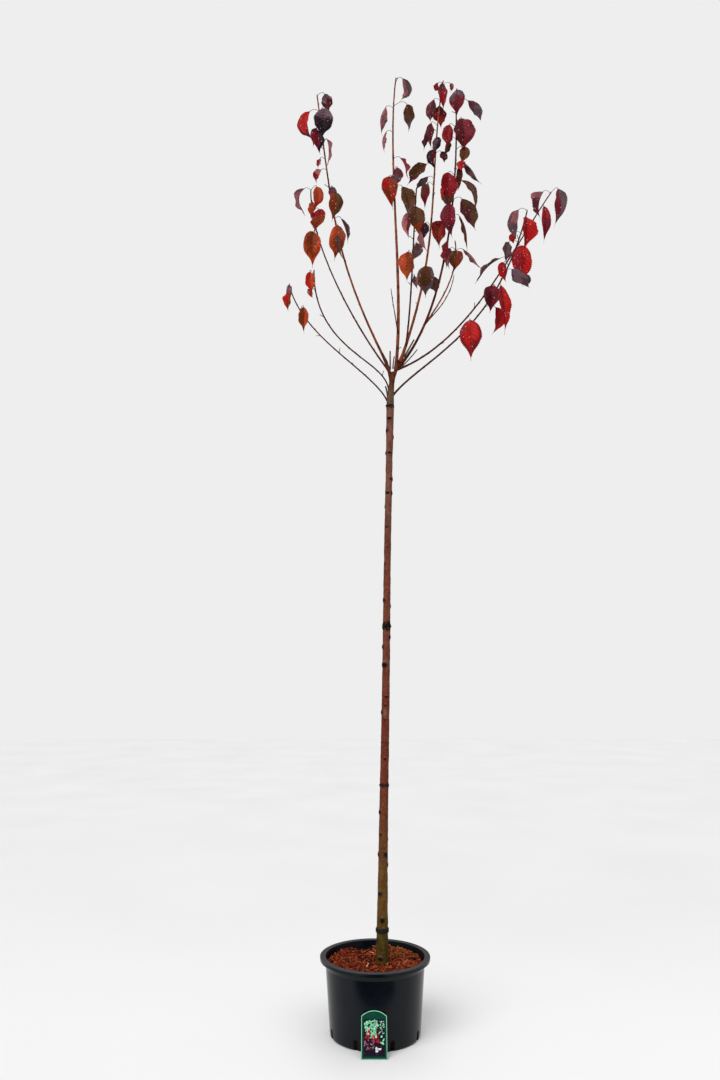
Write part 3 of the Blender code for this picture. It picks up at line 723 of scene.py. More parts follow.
# %% [markdown]
# ## Grow the head of the stem
#
# Where the whips leave the stem, the two thickest form a fork. We roll the stem's bark round its
# line, close its rounded top, and add the two limbs of the fork as short tubes that run on into
# their whips.

# %% The stem and its fork
FORK_THICK = 0.018
FORK_END_THICK = 0.0125


def fork_limb(whip, seed):
    """A short limb from inside the stem to the foot of one whip."""
    points = [stem_centre(STEM_HEAD.z + 0.03), stem_centre(STEM_TOP.z - 0.02), whip.at(0.035)]
    path = interpolate_bezier(points[0], points[1], points[1].lerp(points[2], 0.6), points[2], 40)
    turns = turns_along(path)
    lengths = [0.0]
    for before, after in zip(path, path[1:]):
        lengths.append(lengths[-1] + (after - before).length)
    end = lengths[-1]
    sheet = BarkSheet(
        0, end, 0.0030, 20, lambda along: mix(FORK_THICK, FORK_END_THICK, along / end) / 2
    )
    sheet.uneven(0.0008, 0.03, seed)

    def index(along):
        return min(len(path) - 1, round(along / end * (len(path) - 1)))

    def point_at(along):
        share = along / end * (len(path) - 1)
        low = min(len(path) - 2, int(share))
        return path[low].lerp(path[low + 1], share - low)

    return sheet.limb(point_at, lambda along: turns[index(along)])


def rounded_end(sheet, rings):
    """Draws the last rings of a limb in, so that it ends in a dome."""

    def taper(ring):
        left = sheet.rings - ring
        if left >= rings:
            return 1.0
        return math.sqrt(max(0.04, 1 - (1 - left / rings) ** 2))

    return taper


trunk_shape = bmesh.new()
still = UP.rotation_difference(UP)
gather(trunk_shape, stem_bark_sheet.limb(stem_centre, lambda along: still, rounded_end(stem_bark_sheet, 5)))
for number, name in enumerate(("left_tall", "right_tall")):
    gather(trunk_shape, fork_limb(next(whip for whip in whips if whip.name == name), 7.0 + number))
trunk = make_piece("trunk_bark", trunk_shape, [stem_finish], ["trunk"], sharp_over=60)

# %% [markdown]
# ## Grow the whips
#
# A whip has a bud every few centimetres, each about two fifths of a turn on from the last, as on
# every cherry. Under each bud the wood swells and a small dark scar shows where a leaf fell or
# still hangs. The foot of each whip flares into what bears it.

# %% Whips with their swellings
BUD_SPACING = (0.030, 0.042)
BUD_TURN = math.radians(144)
FIRST_BUD = 0.055
# whips that take the lit orange copy of the bark, as painted light
LIT_WHIPS = ("left_tall", "leader", "right_inner", "right_tall")
FOOT_FLARE = 0.0016
FLARE_LENGTH = 0.010


def bud_places(whip):
    """Where the buds of a whip sit: how far along and at what angle round it."""
    draw = random.Random("buds " + whip.name)
    along, angle = FIRST_BUD, draw.uniform(0, math.tau)
    places = []
    while along < whip.length - 0.012:
        places.append((along, angle % math.tau))
        along += draw.uniform(*BUD_SPACING)
        angle += BUD_TURN + draw.uniform(-0.2, 0.2)
    return places


def whip_limb(whip, seed):
    def radius(along):
        return whip.radius(along) + FOOT_FLARE * math.exp(-abs(along) / FLARE_LENGTH)

    sheet = BarkSheet(-ROOT_SINK, whip.length, 0.0042, 12, radius)
    sheet.uneven(0.00035, 0.03, seed)
    for along, angle in bud_places(whip):
        sheet.lump(along, angle, 0.0009, 0.0050, 0.0030)
        sheet.lump(along - 0.003, angle, 0.0, 0.0028, 0.0022, mark=0.85)
    year_end = whip.length * 0.42
    sheet.lump(year_end, 0, 0.0004, 0.0030, None, mark=0.5)
    return sheet.limb(whip.at, whip.turn_at, rounded_end(sheet, 2))


whips_shape = bmesh.new()
for seed, whip in enumerate(whips):
    gather(whips_shape, whip_limb(whip, seed * 3.1), int(whip.name in LIT_WHIPS))
bough_nodes = ["bough_" + whip.name for whip in whips]
boughs = make_piece("whips_bark", whips_shape, whip_finishes, bough_nodes, sharp_over=70)

# %% [markdown]
# ## Buds, spurs and dead stubs
#
# A cherry's winter buds are small pointed eggs, dark red-brown and pressed to the twig. A few grow
# on short spurs. Round the head there are some thin grey stubs that died back. One small egg of a
# few faces makes all the buds, because there are hundreds.

# %% Buds and spurs
BUD_LENGTH = 0.0060
BUD_WIDTH = 0.0030
BUD_LEAN = math.radians(28)
SPUR_CHANCE = 0.10
SPUR_LENGTH = (0.008, 0.018)
BUD_COLOUR = (0.034, 0.011, 0.008)
DEAD_GREY = (0.050, 0.030, 0.027)


def bud_finish():
    scale = Finish("bud_scales", BUD_COLOUR, 0.45)
    cloudy = scale.grain(400.0)
    scale.colour(scale.tint(scale.range(cloudy, 0.35, 0.7), BUD_COLOUR, WHIP_RED))
    scale.relief(cloudy, 0.4, 0.0003)
    return scale.made


def dead_finish():
    wood = Finish("dead_wood", DEAD_GREY, 0.8)
    streaks = wood.grain(150.0, (1, 1, 0.2))
    wood.colour(wood.tint(wood.range(streaks, 0.35, 0.7), DEAD_GREY, HEAD_BROWN))
    wood.relief(streaks, 0.5, 0.0004)
    return wood.made


def egg(point, way, length, width):
    """A pointed egg that grows along a direction."""
    shape = bmesh.new()
    bmesh.ops.create_uvsphere(shape, u_segments=6, v_segments=4, radius=1.0)
    turn = UP.rotation_difference(way)
    for vertex in shape.verts:
        share = (vertex.co.z + 1) / 2
        round_part = vertex.co * (width / 2) * (1.1 - 0.5 * share)
        vertex.co = point + turn @ Vector((round_part.x, round_part.y, share * length))
    return shape


def twiglet(points, thick, fine, sides=6):
    """A short thin tube along a few points, rounded at its end."""
    turns = turns_along(points)
    last = len(points) - 1

    def place(ring, side):
        radius = mix(thick, fine, ring / last) / 2
        angle = math.tau * side / sides
        spoke = Vector((radius * math.cos(angle), radius * math.sin(angle), 0))
        return points[ring] + turns[ring] @ spoke

    return rolled(last, sides, place)


def bud_way(whip, along, angle, lean):
    """The direction that a bud or spur grows in, leaning out from the whip."""
    turn = whip.turn_at(along)
    out = turn @ Vector((math.cos(angle), math.sin(angle), 0))
    ahead = turn @ UP
    return out, (ahead * math.cos(lean) + out * math.sin(lean)).normalized()


buds_shape = bmesh.new()
bud_count = 0
for whip in whips:
    draw = random.Random("spurs " + whip.name)
    for along, angle in bud_places(whip):
        out, way = bud_way(whip, along, angle, BUD_LEAN)
        start = whip.at(along) + out * whip.radius(along) * 0.8
        if draw.random() < SPUR_CHANCE and whip.radius(along) > 0.0025:
            _, spur_way = bud_way(whip, along, angle, BUD_LEAN * 2)
            tip = start + spur_way * draw.uniform(*SPUR_LENGTH)
            path = [start.lerp(tip, step / 4) + UP * 0.0008 * math.sin(step * 2.2) for step in range(5)]
            gather(buds_shape, twiglet(path, 0.0034, 0.0026), 1)
            for turn in (-0.5, 0.5):
                gather(buds_shape, egg(tip, (spur_way + out * turn).normalized(), BUD_LENGTH, BUD_WIDTH), 0)
        else:
            gather(buds_shape, egg(start, way, BUD_LENGTH * draw.uniform(0.7, 1.0), BUD_WIDTH), 0)
        bud_count += 1
    gather(buds_shape, egg(whip.at(whip.length - 0.004), whip.turn_at(whip.length) @ UP, BUD_LENGTH, 0.0036), 0)
print(bud_count, "buds and spurs")

# %% [markdown]
# The stubs round the head are given one by one, as a few points each.

# %% Dead stubs
STUBS = (
    ((0.0725, -0.004, 2.712), (0.0712, -0.012, 2.742), (0.0716, -0.016, 2.792), 0.0070, 0.0060),
    ((0.0835, -0.004, 2.715), (0.0850, -0.014, 2.742), (0.0890, -0.020, 2.767), 0.0062, 0.0048),
    ((0.1320, -0.004, 2.768), (0.1540, -0.016, 2.803), (0.1760, -0.022, 2.842), 0.0080, 0.0062),
    ((0.1180, -0.002, 2.722), (0.1540, -0.022, 2.749), (0.1890, -0.040, 2.791), 0.0060, 0.0042),
    ((0.0600, -0.004, 2.590), (0.0570, -0.016, 2.612), (0.0500, -0.022, 2.632), 0.0076, 0.0060),
)
for first, second, third, thick, fine in STUBS:
    first, second, third = Vector(first), Vector(second), Vector(third)
    path = interpolate_bezier(first, first.lerp(second, 0.7), second.lerp(third, 0.4), third, 9)
    gather(buds_shape, twiglet(path, thick, fine), 2)
make_piece(
    "buds_and_spurs", buds_shape, [bud_finish(), whip_finishes[0], dead_finish()], [], 60
)

# %% [markdown]
# ## Leaves: the rule
#
# A leaf needs its place on the whip, a stalk that arches out and over, and a blade that hangs from
# it. The blade's midrib bends down, its halves fold up a little from the midrib, and its outline is
# an egg with a drawn-out tip. The seeded draws come in the same order as in the plain solids, so
# each leaf hangs where its solid does.

# %% The plan of a leaf
LEAF_WIDTH = (0.50, 0.60)
SLIM_LEAF = (0.34, 0.42)
BROAD_LEAF = (0.66, 0.76)
LEAF_BEND = 1.21
LEAF_SLAB = 0.0017
LEAF_BODY = 0.92
LEAF_WAIST = 0.82
LEAF_FULLNESS = 0.8
TIP_WIDTH = 0.035
TIP_TAPER = 0.12
OPEN_FOLD = (10, 30)
EDGE_ON_FOLD = (42, 58)
LEAF_CURL = (-0.08, 0.15)
LEAF_STRAY = 7
FACE_STRAY = 26
DROOP_RATE = 1.5
HANGING = ((48, 70), (82, 98))
STEEPER = 16
SLANTING = ((22, 36), (62, 74))
CURLING = ((38, 50), (112, 126))
STALK_REACH = (0.032, 0.040)
STALK_LIFT = (0.002, 0.009)
LONG_STALK = 1.7
SHORTEST_STALK = 0.5
STALK_SEAT = 0.008
BUD_OFF_TIP = 0.004
USUAL_LEAF = 0.12


def read_leaves(text):
    """Reads a whip's leaves. In 22@9x14n a leaf leaves its whip 22 cm below the tip, at nine
    o'clock as seen from above with twelve at the back, is 14 cm long as it hangs, and has the
    colour n. Marks may follow: | hangs edge on, / stands out at a slant, ( curls back under its
    bud, < is slim, > is broad and = has a long stalk."""
    for word in text.split():
        below, hour, hang, colour, marks = re.fullmatch(
            r"(\d+)@(\d+)x(\d+)([a-z])([|/(<>=]*)", word
        ).groups()
        yield int(below) / 100, int(hour), int(hang) / 100, colour, marks


class Leaf:
    """One leaf: where it leaves its whip, how its stalk arches and how its blade hangs."""

    def __init__(self, whip, below, hour, hang, colour, marks, draw):
        self.colour = colour
        self.length = hang * LEAF_BEND
        self.bud = whip.at(whip.length - max(below, BUD_OFF_TIP))
        self.side = 90 - 30 * hour + draw.uniform(-LEAF_STRAY, LEAF_STRAY)
        size = mix(SHORTEST_STALK, 1.0, hang / USUAL_LEAF)
        size *= LONG_STALK if "=" in marks else 1.0
        self.reach = draw.uniform(*STALK_REACH) * size
        self.lift = draw.uniform(*STALK_LIFT)
        droop = SLANTING if "/" in marks else CURLING if "(" in marks else HANGING
        toward_viewer = max(0.0, -compass(self.side).y)
        self.droop = [draw.uniform(*bounds) + STEEPER * toward_viewer for bounds in droop]
        edge_on = "|" in marks
        self.face = 90 if colour == "g" else 270
        self.face += 90 * draw.choice((-1, 1)) if edge_on else 0
        self.face += draw.uniform(-FACE_STRAY, FACE_STRAY)
        self.fold = math.radians(draw.uniform(*(EDGE_ON_FOLD if edge_on else OPEN_FOLD)))
        self.curl = draw.uniform(*LEAF_CURL)
        breadth = SLIM_LEAF if "<" in marks else BROAD_LEAF if ">" in marks else LEAF_WIDTH
        self.width = hang * draw.uniform(*breadth)

    def way(self, share):
        """The direction of the midrib at a share of the leaf's length."""
        angle = math.radians(mix(*self.droop, min(1.0, DROOP_RATE * share)))
        return compass(self.side) * math.cos(angle) - UP * math.sin(angle)

    def base(self):
        """Where the stalk meets the blade."""
        return self.bud + compass(self.side) * self.reach + UP * self.lift

    def half_width(self, share):
        """Half the blade's width: ovate, with a drawn-out tip."""
        body = math.sin(math.pi * min(1.0, share / LEAF_BODY) ** LEAF_WAIST) ** LEAF_FULLNESS
        return self.width / 2 * max(body, TIP_WIDTH + TIP_TAPER * (1 - share))


leaves = []
for whip in whips:
    draw = random.Random(whip.name)
    for words in read_leaves(whip.leaves):
        leaves.append((whip, Leaf(whip, *words, draw)))
print(len(leaves), "leaves")

# %% [markdown]
# ## Leaves: the blade
#
# A real blade is toothed all round, quilted between its side veins, wavy at its margin and drawn
# out at its tip. We start from a grid, with close columns along the midrib, extrude it for the
# underside, and put each point in its place. Teeth need two rows each, so the grid is fine
# lengthways. With under a hundred leaves on the plant that is affordable.

# %% A blade from a grid
BLADE_ROWS = 52
ACROSS = (-1.0, -0.86, -0.68, -0.48, -0.26, -0.045, 0.045, 0.26, 0.48, 0.68, 0.86, 1.0)
BLADE_THICKNESS = 0.0005
VEIN_PAIRS = 9.0
VEIN_SLANT = 0.24
QUILT = 0.0019
TOOTH = 0.06
WAVES = (0.0016, 0.0060)
WAVE_COUNT = 2.6
CAMBER = (0.02, 0.24)
MARGIN_ROLL = (-0.32, 0.20)
TIP_SWAY = 0.022
TIP_HOOK = 0.020
TWIST = 24
DRIP_START = 0.58
DRIP_END = 0.84
DRIP_NARROWING = 0.50
OUTLINE_STRAY = 0.22


def ease(low, high, value):
    """Climbs softly from 0 at low to 1 at high."""
    share = min(1.0, max(0.0, (value - low) / (high - low)))
    return share * share * (3 - 2 * share)


class Looks:
    """What a leaf has beyond its plain solid: its own waves, camber, twist and turn of colour."""

    def __init__(self, leaf, words, number):
        self.main, self.second, self.where = words
        draw = random.Random(1000 + number)
        self.wave = [draw.uniform(*WAVES) for _ in range(2)]
        self.wave_phase = [draw.uniform(0, math.tau) for _ in range(2)]
        self.camber = [draw.uniform(*CAMBER) for _ in range(2)]
        self.roll = [draw.uniform(*MARGIN_ROLL) for _ in range(2)]
        self.sway = draw.uniform(-TIP_SWAY, TIP_SWAY)
        self.hook = draw.uniform(-TIP_HOOK, TIP_HOOK)
        self.twist = draw.uniform(-TWIST, TWIST)
        self.shade = draw.random()
        self.place = Vector((draw.uniform(0, 90), draw.uniform(0, 90), draw.uniform(0, 90)))
        way = leaf.way(0.5)
        self.left = -1 if way.cross(compass(leaf.face)).x > 0 else 1

    def turned(self, share, across):
        """How far a spot has gone over to the leaf's second tint, from 0 to 1."""
        cloud = noise.noise(self.place + Vector((share * 3.4, across * 1.5, 0)))
        away = abs(across)
        if self.where == "l":
            reach = across * self.left
        elif self.where == "r":
            reach = -across * self.left
        elif self.where == "t":
            reach = 1.0 - 2.9 * share
        elif self.where == "e":
            reach = 2.9 * share - 1.9
        elif self.where == "m":
            reach = max(away, 1.25 * share) * 2.4 - 1.7
        else:
            reach = 0.0
        return min(1.0, max(0.0, 0.5 + 1.1 * reach + 0.9 * cloud))


def blade_rows(leaf, looks):
    """The midrib's point and its directions at each row."""
    rows = []
    point = leaf.base()
    for row in range(BLADE_ROWS + 1):
        share = row / BLADE_ROWS
        if row:
            point = point + leaf.way(share - 0.5 / BLADE_ROWS) * (leaf.length / BLADE_ROWS)
        way = leaf.way(share)
        face = compass(leaf.face + looks.twist * share)
        normal = (face - way * face.dot(way)).normalized()
        flank = way.cross(normal)
        stray = flank * looks.sway * share**3 + normal * looks.hook * ease(0.7, 1.2, share)
        rows.append((point + stray, normal, flank, way))
    return rows


def outline(leaf, looks, share, side):
    """Half the blade's width: the plain solid's, a little uneven, and drawn in to a drip tip."""
    stray = noise.noise(looks.place + Vector((share * 4.5, side * 7.0, 3.0)))
    drip = 1 - DRIP_NARROWING * ease(DRIP_START, DRIP_END, share)
    return leaf.half_width(share) * drip * (1 + OUTLINE_STRAY * stray)


def blade_point(leaf, looks, rows, row, column, under):
    """Where one point of the blade goes."""
    share = row / BLADE_ROWS
    across = ACROSS[column]
    away = abs(across)
    side = 0 if across < 0 else 1
    point, normal, flank, way = rows[row]
    half = outline(leaf, looks, share, side)
    ahead = 0.0
    if away > 0.99 and 2 < row < BLADE_ROWS - 3:
        half *= 1 + (TOOTH if row % 2 else -TOOTH * 0.4)
        ahead = 0.45 * leaf.length / BLADE_ROWS if row % 2 else 0.0
    body = min(1.0, 5 * share) * min(1.0, 3.0 * (1 - share))
    phase = math.pi * VEIN_PAIRS * (share - VEIN_SLANT * away)
    quilt = QUILT * (abs(math.sin(phase)) - 0.5) * min(1.0, away * 2.2)
    wave = math.sin(WAVE_COUNT * math.tau * share + looks.wave_phase[side])
    arch = half * (looks.camber[side] * 2 * away * (1 - away) + looks.roll[side] * away**4)
    rise = half * away * math.sin(leaf.fold) + leaf.curl * leaf.length * share**2
    rise += (quilt + looks.wave[side] * away**2.5 * wave + arch) * body
    rise -= LEAF_SLAB / 2 + (BLADE_THICKNESS if under else 0) + (0.0005 if away < 0.1 else 0)
    return point + flank * (half * across * math.cos(leaf.fold)) + normal * rise + way * ahead


def blade(leaf, looks):
    """The whole blade. Each point keeps where it lies on the leaf and how far it has turned."""
    shape = bmesh.new()
    columns = len(ACROSS) - 1
    bmesh.ops.create_grid(shape, x_segments=BLADE_ROWS, y_segments=columns, size=1.0)
    for vertex in shape.verts:
        row = round((vertex.co.x + 1) / 2 * BLADE_ROWS)
        column = round((vertex.co.y + 1) / 2 * columns)
        vertex.co = (row, column, 0)
    drawn = bmesh.ops.extrude_face_region(shape, geom=shape.faces[:])["geom"]
    lower = [part for part in drawn if isinstance(part, bmesh.types.BMVert)]
    bmesh.ops.translate(shape, vec=UP, verts=lower)
    for face in shape.faces:
        under = face.calc_center_median().z > 0.5
        face.material_index = skin_number(looks, under)
    layers = {name: shape.verts.layers.float.new(name) for name in SKIN_LAYERS}
    rows = blade_rows(leaf, looks)
    for vertex in shape.verts:
        row, column, under = (round(number) for number in vertex.co)
        share = row / BLADE_ROWS
        vertex[layers["along"]] = share
        vertex[layers["across"]] = ACROSS[column]
        vertex[layers["turned"]] = looks.turned(share, ACROSS[column])
        vertex[layers["shade"]] = looks.shade
        vertex.co = blade_point(leaf, looks, rows, row, column, under)
    return shape


print("a blade has", BLADE_ROWS * (len(ACROSS) - 1) * 4, "triangles on its two sides")

# %% [markdown]
# ## Leaves: who has turned what
#
# Autumn comes to each leaf at its own time, so neighbours differ: scarlet, crimson, wine, nearly
# black, orange, russet, bronze. Most leaves show two tints at once. Three letters say it for each:
# its tint, its second tint, and where that one lies. It may lie on the left or right half, at the
# top, at the end, round the margin, or in patches where the letter is w.

# %% Tints and who gets them
TINTS = {
    "s": ("scarlet", (0.560, 0.010, 0.008)),
    "c": ("crimson", (0.330, 0.008, 0.016)),
    "m": ("wine", (0.200, 0.009, 0.022)),
    "b": ("burgundy", (0.110, 0.008, 0.014)),
    "k": ("blackish", (0.026, 0.009, 0.016)),
    "o": ("orange", (0.540, 0.064, 0.012)),
    "n": ("russet", (0.290, 0.040, 0.006)),
    "z": ("bronze", (0.120, 0.040, 0.012)),
    "g": ("mauve", (0.150, 0.080, 0.098)),
    "p": ("coral", (0.540, 0.180, 0.190)),
}
TURNED = {
    "left_low": "nsl pgw nor",
    "left_front": "osl pow",
    "left_back": "mpl ose onr nct nom",
    "left_tall": "bgt kgt sbe mbt mkr mpr cpr cpt gml znl gbl nol nzr",
    "leader": "gpl zge pgw pcl cpl gmt snw zge",
    "right_tall": "cpr mcl cbt mbr cbt bkr bme kgl bkl bzl zbe gkl mzt bkr zgm zgl",
    "right_upright": "mgt gbt bmr cme zne scr zgl cze zke bzr znl osw zbl mbe nzl cnw cpe zmt",
    "right_long": "mgr mpt mct scw gbe csr zgl",
    "right_low": "gpt scl scr gkm mbl scl scl scm",
    "right_front": "zne mpl pcr gzl nol gpr",
    "right_inner": "mze nzl pgw",
}
SKIN_LAYERS = ("along", "across", "turned", "shade")
GREY_MAUVE = (0.120, 0.062, 0.072)
SHARE_OF_GREY = 0.40
DEEP = 0.34
# pale paint for the glints of water drops: a painted highlight
DROP_GLINT_COLOUR = (0.72, 0.50, 0.50)
DROPS_PER_METRE = 75.0
DROP_SIZE = 0.17


def toward(colour, other, share):
    return tuple(mix(a, b, share) for a, b in zip(colour, other))


def darker(colour, share):
    return tuple(part * share for part in colour)


def leaf_skin(name, first, second, roughness, vein_shade_share):
    """A leaf's skin of two tints, with veins darkened as painted shade in their grooves, mottling, fine net and
    water drops painted pale as glints.
    """
    skin = Finish(name, first, roughness, Specular_IOR_Level=0.10)
    read = {each: skin.node("Attribute", attribute_name=each).outputs["Fac"] for each in SKIN_LAYERS}
    away = skin.node("Math", {0: read["across"]}, operation="ABSOLUTE").outputs[0]
    cloudy = skin.grain(60.0, detail=4.0)
    phase = skin.sums("SUBTRACT", read["along"], skin.sums("MULTIPLY", away, VEIN_SLANT))
    phase = skin.sums("MULTIPLY", phase, VEIN_PAIRS)
    phase = skin.sums("ADD", phase, skin.range(cloudy, 0.2, 0.8, 0.40, 0.60))
    apart = skin.sums("SUBTRACT", skin.node("Math", {0: phase}, operation="FRACT").outputs[0], 0.5)
    apart = skin.node("Math", {0: apart}, operation="ABSOLUTE").outputs[0]
    vein = skin.range(apart, 0.04, 0.17, 1.0, 0.0)
    rib = skin.range(away, 0.03, 0.09, 1.0, 0.0)
    veins = skin.sums("MAXIMUM", vein, rib)
    edge = skin.sums("ADD", read["turned"], skin.range(cloudy, 0.3, 0.7, -0.16, 0.16))
    edge = skin.sums("SUBTRACT", edge, skin.sums("MULTIPLY", veins, 0.10))
    base = skin.tint(skin.range(edge, 0.40, 0.62), first, second)
    deep = skin.tint(skin.range(edge, 0.40, 0.62), darker(first, DEEP), darker(second, DEEP))
    mottle_and_vein_shade = skin.sums("MULTIPLY", skin.range(skin.grain(22.0, detail=5.0), 0.40, 0.68), 0.55)
    mottle_and_vein_shade = skin.sums("ADD", mottle_and_vein_shade, skin.sums("MULTIPLY", read["shade"], 0.25))
    # painted shade: the veins are darkened toward the deep tint, as shade in their sunk grooves
    mottle_and_vein_shade = skin.sums("MAXIMUM", mottle_and_vein_shade, skin.sums("MULTIPLY", veins, vein_shade_share))
    base = skin.tint(mottle_and_vein_shade, base, deep)
    cells = skin.node("TexVoronoi", {"Vector": skin.place, "Scale": DROPS_PER_METRE})
    drops = skin.range(cells.outputs["Distance"], DROP_SIZE * 0.85, DROP_SIZE, 1.0, 0.0)
    chosen = skin.node("SeparateColor", {"Color": cells.outputs["Color"]}).outputs[0]
    drops = skin.sums("MULTIPLY", drops, skin.range(chosen, 0.58, 0.60))
    # painted highlight: the water drops are painted pale, as their glints
    skin.colour(skin.tint(skin.sums("MULTIPLY", drops, 0.75), base, DROP_GLINT_COLOUR))
    dull = skin.range(cloudy, 0.35, 0.70, roughness - 0.06, roughness + 0.10)
    skin.gloss(skin.sums("SUBTRACT", dull, skin.sums("MULTIPLY", drops, 0.3)))
    net = skin.node("TexVoronoi", {"Vector": skin.place, "Scale": 330.0}, feature="DISTANCE_TO_EDGE")
    height = skin.sums("MULTIPLY", skin.range(net.outputs["Distance"], 0.0, 0.25), 0.25)
    height = skin.sums("ADD", height, skin.range(apart, 0.0, 0.40))
    height = skin.sums("ADD", height, skin.sums("MULTIPLY", drops, 0.6))
    skin.relief(height, 0.55, 0.0014)
    return skin.made


skin_pairs = sorted({(word[0], word[1]) for line in TURNED.values() for word in line.split()})


def leaf_skins():
    """For each pair of tints an upper side and an underside, which is duller and greyer."""
    made = []
    for one, two in skin_pairs:
        (name, first), (other, second) = TINTS[one], TINTS[two]
        dull = [toward(colour, GREY_MAUVE, SHARE_OF_GREY) for colour in (first, second)]
        made.append(leaf_skin(f"leaf_{name}_{other}_upper", first, second, 0.46, 0.85))
        made.append(leaf_skin(f"leaf_{name}_{other}_under", *dull, 0.66, 0.5))
    return made


def skin_number(looks, under):
    return skin_pairs.index((looks.main, looks.second)) * 2 + int(under)


print(len(TINTS), "tints in", len(skin_pairs), "pairs")

# %% [markdown]
# Now the blades are made and joined into two pieces, those of the left whips and those of the
# right, and each piece replaces the plain masses on its side.

# %% Join the blades
blade_shapes = {"left": bmesh.new(), "right": bmesh.new()}
for shape in blade_shapes.values():
    for name in SKIN_LAYERS:
        shape.verts.layers.float.new(name)
turned_words = [word for whip in whips if whip.leaves for word in TURNED[whip.name].split()]
for number, ((whip, leaf), words) in enumerate(zip(leaves, turned_words, strict=True)):
    half = "left" if whip.name.startswith("left") else "right"
    gather(blade_shapes[half], blade(leaf, Looks(leaf, words, number)))
all_leaf_skins = leaf_skins()
for half, shape in blade_shapes.items():
    bearers = [w.name for w in whips if w.leaves and w.name.startswith("left") == (half == "left")]
    masses = ["leaves_" + name for name in bearers]
    make_piece("leaves_" + half + "_side", shape, all_leaf_skins, masses, 50)

# %% [markdown]
# ## Leaf stalks
#
# Each stalk rises from its bud, arches over and runs on into the midrib. It is deep red, thinner in
# the middle than at its ends, where it widens to grip the twig and the blade.

# %% Stalks
STALK_COLOUR = (0.110, 0.009, 0.014)
STALK_DARK = (0.024, 0.006, 0.006)
STALK_RINGS = 14
STALK_THICK = 0.0032
STALK_THIN = 0.0021


def stalk_finish(name, colour):
    skin = Finish(name, colour, 0.45, Specular_IOR_Level=0.15)
    cloudy = skin.grain(160.0)
    skin.colour(skin.tint(skin.range(cloudy, 0.35, 0.7), colour, STALK_DARK))
    skin.relief(cloudy, 0.2, 0.0003)
    return skin.made


def stalk(leaf):
    way = leaf.way(0)
    entry = leaf.base() - way * STALK_SEAT / 2
    leaving = (compass(leaf.side) + UP) * leaf.reach * 0.4
    arriving = way * leaf.reach * 0.35
    path = interpolate_bezier(
        leaf.bud, leaf.bud + leaving, entry - arriving, entry, STALK_RINGS - 1
    )
    path = list(path) + [entry + way * STALK_SEAT]
    turns = turns_along(path)
    last = len(path) - 1

    def place(ring, side):
        ends = abs(2 * ring / last - 1) ** 3
        radius = mix(STALK_THIN, STALK_THICK, ends) / 2
        angle = math.tau * side / 6
        spoke = Vector((radius * math.cos(angle), radius * math.sin(angle), 0))
        return path[ring] + turns[ring] @ spoke

    return rolled(last, 6, place)


stalks_shape = bmesh.new()
for number, (whip, leaf) in enumerate(leaves):
    gather(stalks_shape, stalk(leaf), number % 2)
make_piece(
    "leaf_stalks",
    stalks_shape,
    [stalk_finish("stalk_red", STALK_COLOUR), stalk_finish("stalk_brown", (0.10, 0.032, 0.022))],
    [],
    70,
)

# %% [markdown]
# ## The pot
#
# A nursery pot is moulded from thin black plastic, with a turned-out rim that stiffens it and slots
# round its foot that let water out. The shape is turned, so we spin a profile. The slots are cut by
# a Boolean, as a mould's cores would leave them.

# %% Spin the pot
POT_HEIGHT = 0.292
POT_FOOT_RADIUS = 0.178
POT_NECK_RADIUS = 0.199
POT_RIM_RADIUS = 0.219
POT_WALL = 0.0025
POT_FLOOR = 0.004
POT_HEEL = 0.007
RIM_SKIRT = 0.014
RIM_ROLL = 0.002
POT_STEPS = 144
DRAIN_COUNT = 8
DRAIN_WIDTH = 0.018
DRAIN_HEIGHT = 0.040
DRAIN_FIRST = 20.0


def wall_radius(height):
    """The outer radius of the pot's wall at a height."""
    return mix(POT_FOOT_RADIUS, POT_NECK_RADIUS, height / POT_HEIGHT)


def turned(profile, steps):
    """Spins a profile, given as radius and height, into a closed solid."""
    shape = bmesh.new()
    row = [shape.verts.new((radius, 0, height)) for radius, height in profile]
    for low, high in zip(row, row[1:]):
        shape.edges.new((low, high))
    bmesh.ops.spin(
        shape, geom=shape.verts[:] + shape.edges[:], cent=(0, 0, 0), axis=UP,
        angle=math.tau, steps=steps, use_merge=True,
    )
    bmesh.ops.remove_doubles(shape, verts=shape.verts, dist=0.00003)
    bmesh.ops.recalc_face_normals(shape, faces=shape.faces)
    return shape


